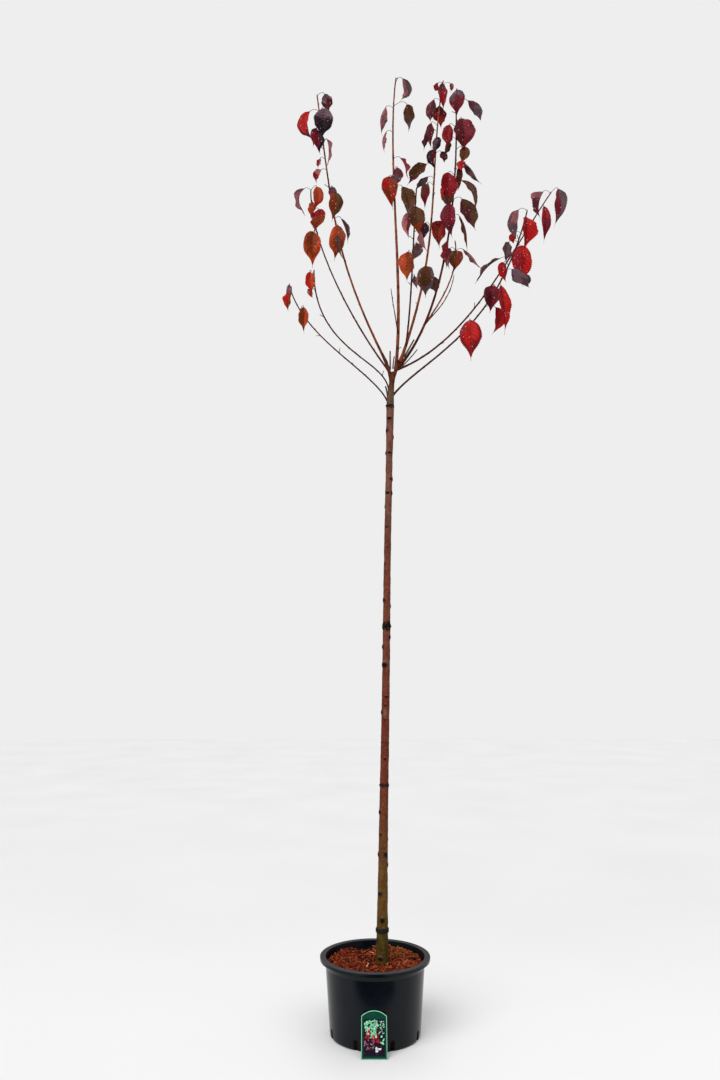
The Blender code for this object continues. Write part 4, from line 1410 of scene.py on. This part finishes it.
def pot_profile():
    under_rim = POT_HEIGHT - POT_WALL
    skirt_foot = POT_HEIGHT - RIM_SKIRT
    inner_neck = POT_NECK_RADIUS - POT_WALL
    inner_foot = wall_radius(POT_HEEL) - POT_WALL
    profile = [(0, 0), (POT_FOOT_RADIUS - POT_HEEL, 0)]
    for step in range(1, 5):
        angle = math.pi / 2 * step / 4
        profile.append((
            POT_FOOT_RADIUS - POT_HEEL + POT_HEEL * math.sin(angle),
            POT_HEEL * (1 - math.cos(angle)),
        ))
    ledge = POT_HEIGHT - 0.034
    straight = (POT_HEEL + 0.002, POT_HEEL + 0.008, ledge - 0.008, ledge - 0.002, ledge)
    profile += [(wall_radius(height), height) for height in straight]
    profile += [
        (wall_radius(ledge) + 0.0007, ledge + 0.001),
        (POT_NECK_RADIUS, under_rim - 0.003),
        (POT_NECK_RADIUS + 0.002, under_rim),
        (POT_RIM_RADIUS - POT_WALL, under_rim),
        (POT_RIM_RADIUS - POT_WALL, skirt_foot + 0.0008),
        (POT_RIM_RADIUS - POT_WALL / 2, skirt_foot),
        (POT_RIM_RADIUS - 0.0003, skirt_foot + 0.0008),
    ]
    for step in range(5):
        angle = math.pi / 2 * step / 4
        profile.append((
            POT_RIM_RADIUS - RIM_ROLL * (1 - math.cos(angle)),
            POT_HEIGHT - RIM_ROLL * (1 - math.sin(angle)),
        ))
    profile += [
        (inner_neck + RIM_ROLL, POT_HEIGHT),
        (inner_neck + RIM_ROLL * 0.3, POT_HEIGHT - RIM_ROLL * 0.3),
        (inner_neck, POT_HEIGHT - RIM_ROLL),
        (inner_foot, POT_HEEL),
        (inner_foot - POT_HEEL / 2, POT_FLOOR),
        (0, POT_FLOOR),
    ]
    return profile


pot_shape = turned(pot_profile(), POT_STEPS)
print("pot profile has", len(pot_profile()), "points")

# %% [markdown]
# The plastic is not quite black: it is a dark blue-grey slate, glossy on the wall, with fine
# scratches and a thin film of dust. The top of the rolled rim is painted lighter in the same grey,
# as a painted highlight where it faces up.

# %% Pot plastic
POT_SLATE = (0.0018, 0.0036, 0.0062)
# grey of the dust film, also used for the painted highlight on top of the rim
DUST_AND_RIM_HIGHLIGHT = (0.075, 0.074, 0.078)


def pot_plastic():
    plastic = Finish("pot_plastic", POT_SLATE, 0.3, Specular_IOR_Level=0.17)
    height = plastic.node("SeparateXYZ", {"Vector": plastic.place}).outputs["Z"]
    # painted highlight: the top of the rolled rim is lightened where it faces up
    rim_highlight = plastic.range(height, POT_HEIGHT - RIM_ROLL, POT_HEIGHT - RIM_ROLL / 2)
    foot = plastic.range(height, 0.03, 0.0)
    patchy = plastic.range(plastic.grain(14.0, detail=6.0, rough=0.65), 0.40, 0.72)
    scratches = plastic.range(plastic.grain(60.0, (1, 1, 14.0), detail=2.0), 0.58, 0.75)
    dusty = plastic.sums("ADD", plastic.sums("MULTIPLY", rim_highlight, 0.55), plastic.sums("MULTIPLY", foot, 0.03))
    film_and_rim_highlight = plastic.sums("ADD", dusty, plastic.sums("MULTIPLY", patchy, 0.030))
    film_and_rim_highlight = plastic.sums("MINIMUM", plastic.sums("ADD", film_and_rim_highlight, plastic.sums("MULTIPLY", scratches, 0.03)), 1.0)
    plastic.colour(plastic.tint(film_and_rim_highlight, POT_SLATE, DUST_AND_RIM_HIGHLIGHT))
    plastic.gloss(plastic.range(film_and_rim_highlight, 0.0, 0.6, 0.20, 0.55))
    plastic.relief(plastic.grain(30.0), 0.12, 0.0003)
    return plastic.made


def cut_slots(piece_shape):
    """Cuts the drain slots with one Boolean, and returns the cut bmesh."""
    mesh = bpy.data.meshes.new("pot_before_slots")
    piece_shape.to_mesh(mesh)
    piece_shape.free()
    body = bpy.data.objects.new("pot_before_slots", mesh)
    bpy.context.scene.collection.objects.link(body)
    cores = bmesh.new()
    for number in range(DRAIN_COUNT):
        way = math.radians(DRAIN_FIRST - 90 + 360 * number / DRAIN_COUNT)
        core = bmesh.new()
        bmesh.ops.create_cube(core, size=1.0)
        bmesh.ops.scale(core, vec=(4 * POT_HEEL, DRAIN_WIDTH, DRAIN_HEIGHT), verts=core.verts)
        upright = [
            edge for edge in core.edges
            if edge.verts[0].co.z > 0 and edge.verts[1].co.z > 0
            and abs(edge.verts[0].co.x - edge.verts[1].co.x) > 0.001
        ]
        bmesh.ops.bevel(
            core, geom=upright, offset=0.006, segments=3, profile=0.5, affect="EDGES", material=-1
        )
        bmesh.ops.translate(
            core, vec=(POT_FOOT_RADIUS + POT_HEEL, 0, DRAIN_HEIGHT / 2 - 0.0009), verts=core.verts
        )
        bmesh.ops.rotate(core, cent=(0, 0, 0), matrix=Matrix.Rotation(way, 3, "Z"), verts=core.verts)
        gather(cores, core)
    core_mesh = bpy.data.meshes.new("slot_cores")
    cores.to_mesh(core_mesh)
    cores.free()
    cutter = bpy.data.objects.new("slot_cores", core_mesh)
    bpy.context.scene.collection.objects.link(cutter)
    cut = body.modifiers.new("slots", "BOOLEAN")
    cut.operation = "DIFFERENCE"
    cut.object = cutter
    cut.solver = "EXACT"
    bpy.context.view_layer.update()
    done = body.evaluated_get(bpy.context.evaluated_depsgraph_get()).to_mesh()
    shape = bmesh.new()
    shape.from_mesh(done)
    bpy.data.objects.remove(body)
    bpy.data.objects.remove(cutter)
    return shape


make_piece("pot_moulded", cut_slots(pot_shape), [pot_plastic()], ["pot"], 35)

# %% [markdown]
# ## The mulch
#
# The pot is topped with shredded bark: fine chips and slivers, orange-red where they are moist,
# tan at the back right where they have dried, and darker chips dealt into a few hollows as painted
# shade. Underneath is a bed that fills the pot. We spin the bed, roughen its top, press the hollows
# in, and strew chips over it by a seeded rule. Each chip is a block of a few faces, bent and
# tapered, and lies at its own tilt.

# %% The bed under the chips
POT_CLEARANCE = 0.0006
MULCH_RELIEF = 0.004
CLEAR_OF_STEM = 0.024
COMPOST = (0.010, 0.005, 0.004)
HOLLOWS = ((-0.048, 0.176, 0.030, 0.030), (-0.020, -0.036, 0.015, 0.010), (0.162, 0.028, 0.018, 0.006))
BED_RISE = 0.007


def compost_finish():
    soil = Finish("compost", COMPOST, 0.95, Specular_IOR_Level=0.05)
    crumbs = soil.grain(260.0, detail=5.0, rough=0.7)
    height = soil.node("SeparateXYZ", {"Vector": soil.place}).outputs["Z"]
    top = soil.range(height, MULCH_LEVEL - 0.012, MULCH_LEVEL - 0.006)
    crumbly = soil.sums("MULTIPLY", soil.range(crumbs, 0.45, 0.75), top)
    soil.colour(soil.tint(crumbly, COMPOST, (0.090, 0.018, 0.008)))
    soil.relief(crumbs, 0.9, 0.003)
    return soil.made


def hollow_at(place):
    """How deep the nearest hollow is at a place on the bed."""
    return max(
        deep * math.exp(-(((place.x - x) ** 2 + (place.y - y) ** 2) / wide**2))
        for x, y, wide, deep in HOLLOWS
    )


def heap_at(place):
    """How much higher the bed is at a place: it is heaped towards the back."""
    return BED_RISE * max(0.0, place.y / POT_NECK_RADIUS) ** 1.5


def mulch_bed():
    foot = wall_radius(POT_HEEL) - POT_WALL - POT_CLEARANCE
    top = wall_radius(MULCH_LEVEL) - POT_WALL - POT_CLEARANCE * 2
    floor = POT_FLOOR + POT_CLEARANCE
    profile = [(0, floor), (foot - POT_HEEL, floor), (foot, POT_HEEL * 2), (top, MULCH_LEVEL - 0.006)]
    rings = 22
    profile += [(top * 0.99 * ring / rings, MULCH_LEVEL - 0.004) for ring in range(rings, -1, -1)]
    shape = turned(profile, 72)
    for vertex in shape.verts:
        if vertex.co.z > MULCH_LEVEL - 0.005:
            vertex.co.z += MULCH_RELIEF * noise.fractal(vertex.co * 38, 0.6, 2.0, 3)
            vertex.co.z += heap_at(vertex.co) - hollow_at(vertex.co)
    return shape


make_piece("mulch_bed", mulch_bed(), [compost_finish()], ["mulch"], 60)

# %% Strew the chips
CHIP_COUNT = 4200
CHIP_LENGTH = (0.006, 0.030)
CHIP_WIDTH = (0.0030, 0.0095)
CHIP_THICK = (0.0012, 0.0034)
CHIP_TINTS = (
    ("pale", (0.560, 0.300, 0.190)),
    ("tan", (0.340, 0.115, 0.026)),
    ("orange", (0.380, 0.070, 0.018)),
    ("russet", (0.200, 0.024, 0.009)),
    ("brown", (0.065, 0.010, 0.006)),
    ("wet", (0.014, 0.005, 0.005)),
)
MOIST_SHARES = (1, 4, 26, 30, 22, 12)
DRY_SHARES = (2, 36, 26, 16, 12, 5)
# chip tints for the hollows, mostly dark: painted shade
HOLLOW_SHADE_SHARES = (1, 0, 4, 16, 34, 40)
DRY_PLACE = Vector((0.100, 0.125))
DRY_REACH = 0.095


def chip_finish(name, colour):
    wood = Finish("chip_" + name, colour, 0.8, Specular_IOR_Level=0.08)
    fibres = wood.grain(190.0, (1, 1, 1), detail=4.0, rough=0.7)
    darker = tuple(part * 0.45 for part in colour)
    wood.colour(wood.tint(wood.range(fibres, 0.35, 0.72), colour, darker))
    wood.relief(fibres, 0.7, 0.0012)
    return wood.made


def chip(draw):
    """One chip: a block, cut once across, with uneven corners, bent and tapered."""
    shape = bmesh.new()
    bmesh.ops.create_cube(shape, size=1.0)
    long_edges = [edge for edge in shape.edges if abs(edge.verts[0].co.x - edge.verts[1].co.x) > 0.5]
    bmesh.ops.subdivide_edges(shape, edges=long_edges, cuts=1, use_grid_fill=True)
    length = mix(*CHIP_LENGTH, draw.random() ** 1.6)
    width = min(draw.uniform(*CHIP_WIDTH), length * 0.7)
    thick = draw.uniform(*CHIP_THICK)
    bend = draw.uniform(-0.25, 0.25) * length
    taper = draw.uniform(0.3, 0.95)
    for vertex in shape.verts:
        x, y, z = vertex.co
        narrow = mix(1.0, taper, x + 0.5)
        vertex.co = (
            x * length * draw.uniform(0.85, 1.1),
            y * width * narrow * draw.uniform(0.7, 1.15) + bend * (0.25 - x * x) * 0.6,
            z * thick * draw.uniform(0.7, 1.2) + bend * (0.25 - x * x) * 0.35,
        )
    return shape


def lay(shape, draw, place, tilt):
    turn = Matrix.Rotation(draw.uniform(0, math.tau), 3, "Z")
    tip = Matrix.Rotation(draw.gauss(0, tilt), 3, "Y") @ Matrix.Rotation(draw.gauss(0, tilt), 3, "X")
    bmesh.ops.rotate(shape, cent=(0, 0, 0), matrix=turn @ tip, verts=shape.verts)
    bmesh.ops.translate(shape, vec=place, verts=shape.verts)


def strew():
    draw = random.Random(23)
    whole = bmesh.new()
    reach = wall_radius(MULCH_LEVEL) - POT_WALL - 0.010
    laid = 0
    while laid < CHIP_COUNT:
        way = compass(draw.uniform(0, 360)) * reach * math.sqrt(draw.random())
        from_stem = (way - Vector((STEM_FOOT.x, STEM_FOOT.y, 0))).length
        deep = hollow_at(way)
        if from_stem < CLEAR_OF_STEM or deep > 0.004 and draw.random() < 0.85:
            continue
        shape = chip(draw)
        level = MULCH_LEVEL - 0.002 + draw.uniform(-0.003, 0.0045) + heap_at(way) - deep
        lay(shape, draw, way + UP * level, 0.30)
        furthest = max(vertex.co.xy.length for vertex in shape.verts)
        if furthest > reach + 0.009:
            bmesh.ops.translate(shape, vec=-way.normalized() * (furthest - reach - 0.009), verts=shape.verts)
        dry = (way.xy - DRY_PLACE).length < DRY_REACH * draw.uniform(0.7, 1.3)
        # painted shade: chips in hollows are drawn mostly from the dark tints
        shares = HOLLOW_SHADE_SHARES if deep > 0.001 else DRY_SHARES if dry else MOIST_SHARES
        gather(whole, shape, draw.choices(range(len(CHIP_TINTS)), shares)[0])
        laid += 1
    return whole


chip_finishes = [chip_finish(name, colour) for name, colour in CHIP_TINTS]
make_piece("mulch_chips", strew(), chip_finishes, [], 30)

# %% [markdown]
# ## The label card
#
# A printed plastic card stands on the floor and leans on the pot. It is dark green with a thin
# mint line near its edge and a picture of blossom over dark leaves. The card is one flat face with
# an arched top, extruded. Insets give the line, and the picture is a dark field with pale sky,
# blossom and leaves laid on it as thin shapes.

# %% The card and its field
CARD_WIDTH = 0.097
CARD_SIDE = 0.142
CARD_LENGTH = 0.161
CARD_THICKNESS = 0.0012
CARD_FOOT_Y = -0.235
CARD_OFFSET = -0.0075
CARD_FOOT_LIFT = 0.0004
CARD_EDGE = 0.0012
CARD_LINE = 0.0019
PICTURE_HALF = 0.0395
PICTURE_FOOT = 0.010
PICTURE_HEAD = 0.131
GREEN, LINE, MINT, LEAF, RED, PINK, DARK, WHITE = range(8)
CARD_COLOURS = (
    ("green", (0.002, 0.044, 0.026)),
    ("line", (0.300, 0.720, 0.480)),
    ("mint", (0.280, 0.720, 0.440)),
    ("leaf", (0.006, 0.060, 0.030)),
    ("red", (0.430, 0.022, 0.040)),
    ("pink", (0.480, 0.170, 0.260)),
    ("dark", (0.008, 0.005, 0.014)),
    ("white", (0.780, 0.740, 0.800)),
)


def card_finish(name, colour):
    print_layer = Finish("card_" + name, colour, 0.32, Specular_IOR_Level=0.15)
    worn = print_layer.grain(220.0, detail=4.0)
    soft = tuple(min(1.0, part * 1.25 + 0.004) for part in colour)
    print_layer.colour(print_layer.tint(print_layer.range(worn, 0.45, 0.75), colour, soft))
    print_layer.gloss(print_layer.range(worn, 0.3, 0.8, 0.26, 0.42))
    print_layer.relief(worn, 0.08, 0.0002)
    return print_layer.made


def card_shape():
    shape = bmesh.new()
    half = CARD_WIDTH / 2
    rise = CARD_LENGTH - CARD_SIDE
    bow = (half**2 + rise**2) / (2 * rise)
    outline = [(-half, 0), (half, 0)]
    for step in range(17):
        angle = math.asin(half / bow) * (1 - step / 8)
        outline.append((bow * math.sin(angle), CARD_LENGTH - bow * (1 - math.cos(angle))))
    front = shape.faces.new([shape.verts.new((x, 0, z)) for x, z in outline])
    drawn = bmesh.ops.extrude_face_region(shape, geom=[front])["geom"]
    back = [part for part in drawn if isinstance(part, bmesh.types.BMVert)]
    bmesh.ops.translate(shape, vec=(0, CARD_THICKNESS, 0), verts=back)
    bmesh.ops.recalc_face_normals(shape, faces=shape.faces)
    front = next(face for face in shape.faces if face.normal.y < -0.9)
    for thickness, number in ((CARD_EDGE, GREEN), (CARD_LINE, LINE)):
        ring = bmesh.ops.inset_individual(shape, faces=[front], thickness=thickness, depth=0)["faces"]
        for face in ring:
            face.material_index = number
    front.material_index = GREEN
    return shape


def card_place():
    """Where the card stands and how far it leans."""
    back_top = math.sqrt(wall_radius(CARD_LENGTH) ** 2 - CARD_OFFSET**2)
    lean = math.asin((-CARD_FOOT_Y - back_top - CARD_THICKNESS - 0.0003) / CARD_LENGTH)
    place = Matrix.Translation((CARD_OFFSET, CARD_FOOT_Y, CARD_FOOT_LIFT))
    return place @ Matrix.Rotation(-lean, 4, "X")


print("the card is", CARD_WIDTH * 1000, "by", CARD_LENGTH * 1000, "mm")

# %% The picture on the card
PICTURE_LIFT = 0.00008
PICTURE_PARTS = (
    (LEAF, 20, (0.42, 0.90), (0.10, 0.95), (0.0020, 0.0042)),
    (MINT, 70, (0.60, 1.00), (0.00, 0.62), (0.0032, 0.0070)),
    (MINT, 20, (0.62, 0.98), (0.55, 1.00), (0.0022, 0.0042)),
    (MINT, 16, (0.50, 0.66), (0.30, 0.62), (0.0030, 0.0060)),
    (MINT, 8, (0.30, 0.58), (0.86, 1.00), (0.0022, 0.0044)),
    (DARK, 14, (0.62, 1.00), (0.30, 0.95), (0.0020, 0.0040)),
    (LEAF, 8, (0.52, 0.90), (0.10, 0.95), (0.0018, 0.0034)),
    (PINK, 10, (0.66, 0.96), (0.60, 0.95), (0.0014, 0.0026)),
    (RED, 20, (0.42, 0.72), (0.03, 0.28), (0.0022, 0.0046)),
    (RED, 22, (0.36, 0.64), (0.40, 0.80), (0.0020, 0.0042)),
    (PINK, 26, (0.12, 0.42), (0.02, 0.48), (0.0014, 0.0030)),
    (RED, 8, (0.14, 0.34), (0.10, 0.90), (0.0014, 0.0028)),
    (LEAF, 12, (0.02, 0.40), (0.00, 1.00), (0.0020, 0.0040)),
    (WHITE, 9, (0.08, 0.22), (0.60, 0.84), (0.0032, 0.0052)),
)


def petal(whole, x, z, radius, squeeze, turn, number, lift):
    """A flat rounded shape on the card's front."""
    shape = bmesh.new()
    bmesh.ops.create_circle(shape, cap_ends=True, segments=10, radius=radius)
    bmesh.ops.scale(shape, vec=(1, squeeze, 1), verts=shape.verts)
    bmesh.ops.rotate(shape, cent=(0, 0, 0), matrix=Matrix.Rotation(turn, 3, "Z"), verts=shape.verts)
    bmesh.ops.rotate(
        shape, cent=(0, 0, 0), matrix=Matrix.Rotation(math.pi / 2, 3, "X"), verts=shape.verts
    )
    drawn = bmesh.ops.extrude_face_region(shape, geom=shape.faces[:])["geom"]
    front = [part for part in drawn if isinstance(part, bmesh.types.BMVert)]
    bmesh.ops.translate(shape, vec=(0, -lift, 0), verts=front)
    bmesh.ops.translate(shape, vec=(x, -0.00001, z), verts=shape.verts)
    gather(whole, shape, number)


def picture(whole):
    """A dark field, and over it each kind of patch strewn in its own part of the field."""
    draw = random.Random(41)
    field = bmesh.new()
    bmesh.ops.create_cube(field, size=1.0)
    tall = PICTURE_HEAD - PICTURE_FOOT
    bmesh.ops.scale(field, vec=(2 * PICTURE_HALF, PICTURE_LIFT, tall), verts=field.verts)
    middle = (PICTURE_HEAD + PICTURE_FOOT) / 2
    bmesh.ops.translate(field, vec=(0, -PICTURE_LIFT / 2 - 0.00001, middle), verts=field.verts)
    gather(whole, field, DARK)
    layer = 1
    for number, count, up, across, sizes in PICTURE_PARTS:
        layer += 1
        for _ in range(count):
            radius = draw.uniform(*sizes)
            half = PICTURE_HALF - radius
            x = mix(-half, half, draw.uniform(*across))
            z = mix(PICTURE_FOOT + radius, PICTURE_HEAD - radius, draw.uniform(*up))
            squeeze = draw.uniform(0.45, 0.8)
            petal(whole, x, z, radius, squeeze, draw.uniform(0, math.pi), number, PICTURE_LIFT * layer / 2)


card = card_shape()
picture(card)
bmesh.ops.transform(card, matrix=card_place(), verts=card.verts)
card_finishes = [card_finish(name, colour) for name, colour in CARD_COLOURS]
make_piece("label_card_printed", card, card_finishes, ["label_card"], 30)

# %% [markdown]
# ## The ties
#
# Two rubber ties go round the stem, a wide band low down and a thin ring higher up. Each is a
# rounded profile spun round the stem. The band has two shallow grooves and a small button where its
# end is pushed through.

# %% Spin the ties
TIES = {"tie_low": (0.390, 0.016, 0.0030), "tie_mid": (0.951, 0.005, 0.0022)}
TIE_CLEARANCE = 0.0006
TIE_BLACK = (0.007, 0.007, 0.008)


def rubber_finish():
    rubber = Finish("tie_rubber", TIE_BLACK, 0.6, Specular_IOR_Level=0.10)
    dusty = rubber.range(rubber.grain(180.0, detail=4.0), 0.4, 0.75)
    rubber.colour(rubber.tint(rubber.sums("MULTIPLY", dusty, 0.4), TIE_BLACK, (0.040, 0.037, 0.034)))
    rubber.gloss(rubber.range(dusty, 0.0, 1.0, 0.5, 0.75))
    rubber.relief(rubber.grain(700.0), 0.3, 0.0003)
    return rubber.made


def tie(name, height, width, thickness):
    centre = stem_centre(height)
    inner = between(STEM_DIAMETERS, height - width / 2) / 2 + TIE_CLEARANCE
    outer = inner + thickness
    half = width / 2
    soft = min(thickness, half) * 0.45
    profile = [(inner, -half + soft / 2), (inner + soft / 2, -half), (outer - soft, -half), (outer, -half + soft)]
    if width > 0.01:
        for middle in (-half / 3, half / 3):
            profile += [(outer, middle - 0.0012), (outer - 0.0007, middle), (outer, middle + 0.0012)]
    profile += [(outer, half - soft), (outer - soft, half), (inner + soft / 2, half), (inner, half - soft / 2)]
    profile.append(profile[0])
    shape = turned(profile, 40)
    if width > 0.01:
        button = bmesh.new()
        bmesh.ops.create_cone(
            button, cap_ends=True, segments=16, radius1=0.0052, radius2=0.0046, depth=0.005
        )
        bmesh.ops.bevel(
            button, geom=button.edges[:], offset=0.0008, segments=2, profile=0.5,
            affect="EDGES", material=-1,
        )
        bmesh.ops.rotate(
            button, cent=(0, 0, 0), matrix=Matrix.Rotation(math.pi / 2, 3, "X"), verts=button.verts
        )
        bmesh.ops.translate(button, vec=(0, outer + 0.0010, 0), verts=button.verts)
        gather(shape, button)
    bmesh.ops.translate(shape, vec=centre, verts=shape.verts)
    return shape


rubber = rubber_finish()
for name, (height, width, thickness) in TIES.items():
    make_piece(name + "_band", tie(name, height, width, thickness), [rubber], [name], 50)

# %% [markdown]
# ## Stage, light and camera
#
# The plant stands on a pale floor in soft light from above, from the front and from the left, so
# that leaves shade each other but nothing goes black. Wide suns light the whole floor alike, as the
# roof of a large hall would. The camera stands 3.7 m in front of the pot at chest height and looks
# up a little, which is why the stem seems to narrow so fast.

# %% The floor
FLOOR_HALF = 14.0
FLOOR_WHITE = (0.865, 0.865, 0.865)
FLOOR_FAR = (0.83, 0.83, 0.83)


def floor_finish():
    paint = Finish("floor_paint", FLOOR_WHITE, 0.5, Specular_IOR_Level=0.25)
    cloudy = paint.grain(1.2, detail=5.0)
    depth = paint.node("SeparateXYZ", {"Vector": paint.place}).outputs["Y"]
    uneven = paint.sums("ADD", depth, paint.range(cloudy, 0.3, 0.7, -0.2, 0.2))
    paint.colour(paint.tint(paint.range(uneven, 0.1, 1.6), FLOOR_WHITE, FLOOR_FAR))
    paint.gloss(paint.range(cloudy, 0.3, 0.7, 0.45, 0.6))
    return paint.made


floor_shape = bmesh.new()
bmesh.ops.create_grid(floor_shape, x_segments=4, y_segments=4, size=FLOOR_HALF)
bmesh.ops.translate(floor_shape, vec=(0, 0, -0.0005), verts=floor_shape.verts)
floor_mesh = bpy.data.meshes.new("studio_floor")
floor_shape.to_mesh(floor_mesh)
floor_shape.free()
floor_mesh.materials.append(floor_finish())
studio_floor = bpy.data.objects.new("studio_floor", floor_mesh)
bpy.context.scene.collection.objects.link(studio_floor)
studio_floor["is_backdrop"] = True
print("the floor is", FLOOR_HALF * 2, "m wide")

# %% Lights and camera
CAMERA_PLACE = (-0.060, -3.702, 1.433)
CAMERA_PITCH = 8.12
CAMERA_LENS = 29.33
ROOM_LIGHT = 0.30
WALL_BRIGHTNESS = 0.855
SUNS = (
    ("front_left_sun", 240, 45, 2.2),
    ("front_right_sun", 310, 55, 0.7),
    ("back_sun", 80, 60, 0.5),
)
SUN_SPREAD = 50


def set_lights():
    world = bpy.data.worlds.new("pale_room")
    world.use_nodes = True
    tree = world.node_tree
    sky = tree.nodes["Background"]
    sky.inputs["Color"].default_value = (1, 1, 1, 1)
    seen = tree.nodes.new("ShaderNodeLightPath").outputs["Is Camera Ray"]
    level = tree.nodes.new("ShaderNodeMapRange")
    level.inputs["To Min"].default_value = ROOM_LIGHT
    level.inputs["To Max"].default_value = WALL_BRIGHTNESS
    tree.links.new(seen, level.inputs["Value"])
    tree.links.new(level.outputs["Result"], sky.inputs["Strength"])
    bpy.context.scene.world = world
    for name, side, climb, strength in SUNS:
        lamp = bpy.data.lights.new(name, "SUN")
        lamp.angle = math.radians(SUN_SPREAD)
        lamp.energy = strength
        held = bpy.data.objects.new(name, lamp)
        rise = math.radians(climb)
        way = compass(side) * math.cos(rise) + UP * math.sin(rise)
        held.location = way * 6
        held.rotation_euler = way.to_track_quat("Z", "Y").to_euler()
        bpy.context.scene.collection.objects.link(held)


def set_camera():
    camera = bpy.data.cameras.new("camera")
    camera.lens = CAMERA_LENS
    camera.sensor_width = 36.0
    camera.sensor_fit = "AUTO"
    held = bpy.data.objects.new("camera", camera)
    held.location = CAMERA_PLACE
    held.rotation_euler = (math.radians(90 + CAMERA_PITCH), 0, 0)
    bpy.context.scene.collection.objects.link(held)
    bpy.context.scene.camera = held


FLAGS = (
    ("studio_flag", (6.0, 5.6), (0.2, -5.6, 1.6), 90),
    ("studio_floor_flag", (0.92, 2.6), (-0.03, -1.77, 0.003), 0),
)


def set_flags():
    """Dark cloths that only show in gloss: a shadowy room behind the viewer, and its floor."""
    cloth = Finish("flag_cloth", (0.01, 0.01, 0.012), 0.9, Specular_IOR_Level=0.0).made
    for name, size, place, pitch in FLAGS:
        shape = bmesh.new()
        bmesh.ops.create_grid(shape, x_segments=6, y_segments=6, size=0.5)
        bmesh.ops.scale(shape, vec=(*size, 1), verts=shape.verts)
        turn = Matrix.Rotation(math.radians(pitch), 3, "X")
        bmesh.ops.rotate(shape, cent=(0, 0, 0), matrix=turn, verts=shape.verts)
        bmesh.ops.translate(shape, vec=place, verts=shape.verts)
        mesh = bpy.data.meshes.new(name)
        shape.to_mesh(mesh)
        shape.free()
        mesh.materials.append(cloth)
        flag = bpy.data.objects.new(name, mesh)
        bpy.context.scene.collection.objects.link(flag)
        flag.visible_camera = False
        flag.visible_diffuse = False
        flag.visible_shadow = False
        flag.visible_transmission = False
        flag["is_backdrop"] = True


set_flags()
set_lights()
set_camera()
bpy.context.scene.view_settings.view_transform = "Standard"
print("camera at", CAMERA_PLACE)

# %% [markdown]
# ## Print the size
#
# The dressed plant should reach as far as its plain solids do; we print how far it reaches.

# %% Print the dressed plant's box
dressed_box = [[float(number) for number in corner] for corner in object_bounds()]
print("the dressed plant reaches from", dressed_box[0], "to", dressed_box[1])
